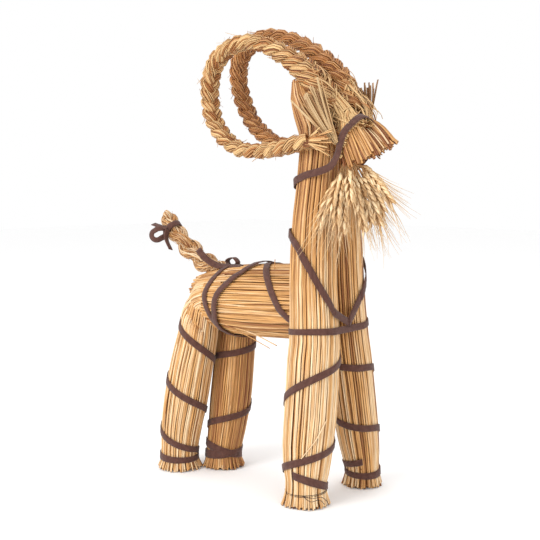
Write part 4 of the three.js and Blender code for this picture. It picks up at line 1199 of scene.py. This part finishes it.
tape_piece("chest_tape", [neck_band([221, 221, 220, 220], [222, 226, 226, 221], 221, 220)], "chest_ribbon")
NECK_RIGHT = [245, 274, 305, 330, 343, 347, 348]
NECK_LEFT = [262, 284, 302, 320, 335, 345, 348]
tape_piece("neck_tape", [neck_band(NECK_RIGHT, NECK_LEFT, 229, 348, UPPER_LAYER)], "neck_ribbon")

FAR_BRIDLE = [[(45, 7, 493), (0.5, 0.15, 0.85)], [(42, 20, 486), (0.45, 0.5, 0.8)],
              [(37, 33, 474), (0.3, 0.8, 0.5)], [(30, 38, 461), (0.1, 0.95, 0.2)],
              [(20, 40, 449), (0.15, 0.95, 0)], [(7, 41.5, 437), (0.1, 1, 0)],
              [(-11, 42.5, 426), (0, 1, 0)], [(-31, 40.5, 416), (-0.35, 0.95, 0)],
              [(-44.5, 31.5, 408), (-0.75, 0.65, 0)], [(-47, 9, 404), (-1, 0.2, 0)]]
tape_piece("bridle_tape", [free_band([*BRIDLE, *FAR_BRIDLE], True, 110)], "bridle_ribbon")

# The trunk's ribbons: degrees from its top towards its left, millimetres back along it.
RUMP_RING = [[-180, 139], [-148, 149], [-115, 158], [-78, 165], [-64, 162], [-34, 153], [0, 149],
             [60, 146], [120, 140], [180, 139]]
SLANT_RING = [[-180, 132], [-133, 150], [-107, 145], [-84, 140], [-73, 134], [-61, 124], [-50, 115],
              [-36, 104], [5, 92], [60, 98], [120, 114], [180, 132]]
WITHERS_ARC = [[-116, 10], [-99, 26], [-82, 36], [-59, 50], [-30, 68], [-2, 80], [40, 68], [80, 40],
               [101, 28]]
trunk_length = path_length(trunk)


def trunk_band(stops, closed, layer=0.0):
    return wound_band(trunk, [[angle, back / trunk_length] for angle, back in stops], closed, layer, step=4)


RUMP_LOOP = [[(-176, -16, 293), (0, -0.3, -1)], [(-166, -16, 299), (1, 0, 0.2)],
             [(-174, -16, 305), (0, 0, 1)], [(-186, -16, 300), (-1, 0, 0.4)]]
RUMP_STRIP = [[(-150, -24, 295), (0, -0.3, 1)], [(-172, -24, 294), (0, -0.5, 1)],
              [(-193, -29, 294), (0.2, -0.8, 0.7)], [(-212, -32.5, 302), (0.4, -0.9, 0.45)],
              [(-229, -33, 315), (0.4, -0.9, 0.45)]]
tape_piece("rump_tape", [trunk_band(RUMP_RING, True), free_band(RUMP_LOOP, True, 24),
                         free_band(RUMP_STRIP, False, 20)], "rump_ribbon")
tape_piece("slant_tape", [trunk_band(SLANT_RING, True, UPPER_LAYER)], "slant_ribbon")
tape_piece("withers_tape", [trunk_band(WITHERS_ARC, False)], "withers_ribbon")

# The bow on the tail: its loop bulges away from the knot, and its two ends start at it.
BOW_MIDDLE = np.array([-11.5, -11, -9.5])
BOW_REACH = 7
BOW_AHEAD = np.array([0.72, 0.69, 0])
BOW_FACE = np.array([0.69, -0.72, 0.1])
BOW_ENDS = [[[(2, -1, 1), (0.2, -0.4, 1)], [(-12, -4, 3), (0.1, -0.3, 1)], [(-25, -6, 6), (0, -0.3, 1)]],
            [[(2, -1, -1), (0.9, -0.1, 0)], [(4, -6, -14), (1, 0.2, 0.3)], [(16, -8, -30), (1, 0.3, 0.5)]]]


def tail_tie():
    """The ring round the tail's end with its bow loop and two ends."""
    centre, across, outward = (value[0] for value in frame_on(tail_path, np.array([TAIL_TIE])))
    radius = TAIL_HALF_WIDTH * 0.92 + RIBBON_GAP
    knot = centre + across * (-radius - 0.5)
    ring, loop = [], []
    for angle in np.linspace(0, 2 * math.pi, 12, endpoint=False):
        face = across * math.sin(angle) + outward * math.cos(angle)
        ring.append([centre + face * radius, face])
    for angle in np.linspace(0, 2 * math.pi, 10, endpoint=False):
        way = math.cos(angle) * BOW_AHEAD + math.sin(angle) * np.array([0, 0, 1])
        reach = BOW_REACH * (1 + 1.2 * max(0, math.cos(angle - math.radians(27))) ** 3)
        loop.append([knot + BOW_MIDDLE + reach * way, 0.8 * BOW_FACE + 0.6 * way])
    ends = [[[knot + np.array(point), face] for point, face in end] for end in BOW_ENDS]
    return [free_band(ring, True, 36), free_band(loop, True, 40),
            *(free_band(end, rows=12) for end in ends)]


tape_piece("tail_tape", tail_tie(), "tail_ribbon")


# Floor, light and camera

FLOOR_HALF = 6
WHITE = (1, 1, 1, 1)
FLOOR_WHITE = (0.98, 0.98, 0.98, 1)
LAMP_TARGET = Vector((0, 0, 0.3))

# Each lamp's name, its place and size in metres, and its power in watts.
LAMPS = (("key", (-0.2, -2.0, 1.3), 1.2, 27), ("fill", (1.9, -0.6, 1.0), 1.6, 7),
         ("top", (-0.2, 0.3, 2.4), 1.6, 7))

# The photo's view: a lens and a sensor in millimetres, a place in metres and a tilt and turn in degrees.
LENS = 68.67
SENSOR = 36
CAMERA_PLACE = (0.97902, -1.02521, 0.421)
CAMERA_TILT = 84.73
CAMERA_TURN = 43.5


def placed(name, data):
    """An object in the scene that is not part of the goat."""
    thing = bpy.data.objects.new(name, data)
    bpy.context.scene.collection.objects.link(thing)
    return thing


def plain_floor():
    bm = bmesh.new()
    bmesh.ops.create_grid(bm, x_segments=1, y_segments=1, size=FLOOR_HALF)
    mesh = bpy.data.meshes.new("floor")
    bm.to_mesh(mesh)
    bm.free()
    floor = placed("floor", mesh)
    material = bpy.data.materials.new("pale_floor")
    material.use_nodes = True
    shader = material.node_tree.nodes["Principled BSDF"]
    shader.inputs["Base Color"].default_value = FLOOR_WHITE
    shader.inputs["Roughness"].default_value = 0.9
    mesh.materials.append(material)


def lamp(name, place, size, power):
    data = bpy.data.lights.new(name, "AREA")
    data.shape = "DISK"
    data.size = size
    data.energy = power
    light = placed(name, data)
    light.location = place
    light.rotation_euler = (LAMP_TARGET - Vector(place)).to_track_quat("-Z", "Y").to_euler()


def photo_camera():
    data = bpy.data.cameras.new("camera")
    data.lens = LENS
    data.sensor_width = SENSOR
    camera = placed("camera", data)
    camera.location = CAMERA_PLACE
    camera.rotation_euler = (math.radians(CAMERA_TILT), 0, math.radians(CAMERA_TURN))
    bpy.context.scene.camera = camera


plain_floor()
for row in LAMPS:
    lamp(*row)
photo_camera()

world = bpy.data.worlds.new("studio")
world.use_nodes = True
world.node_tree.nodes["Background"].inputs["Color"].default_value = WHITE
world.node_tree.nodes["Background"].inputs["Strength"].default_value = 1.0
bpy.context.scene.world = world
bpy.context.scene.view_settings.view_transform = "Standard"

bpy.context.view_layer.update()
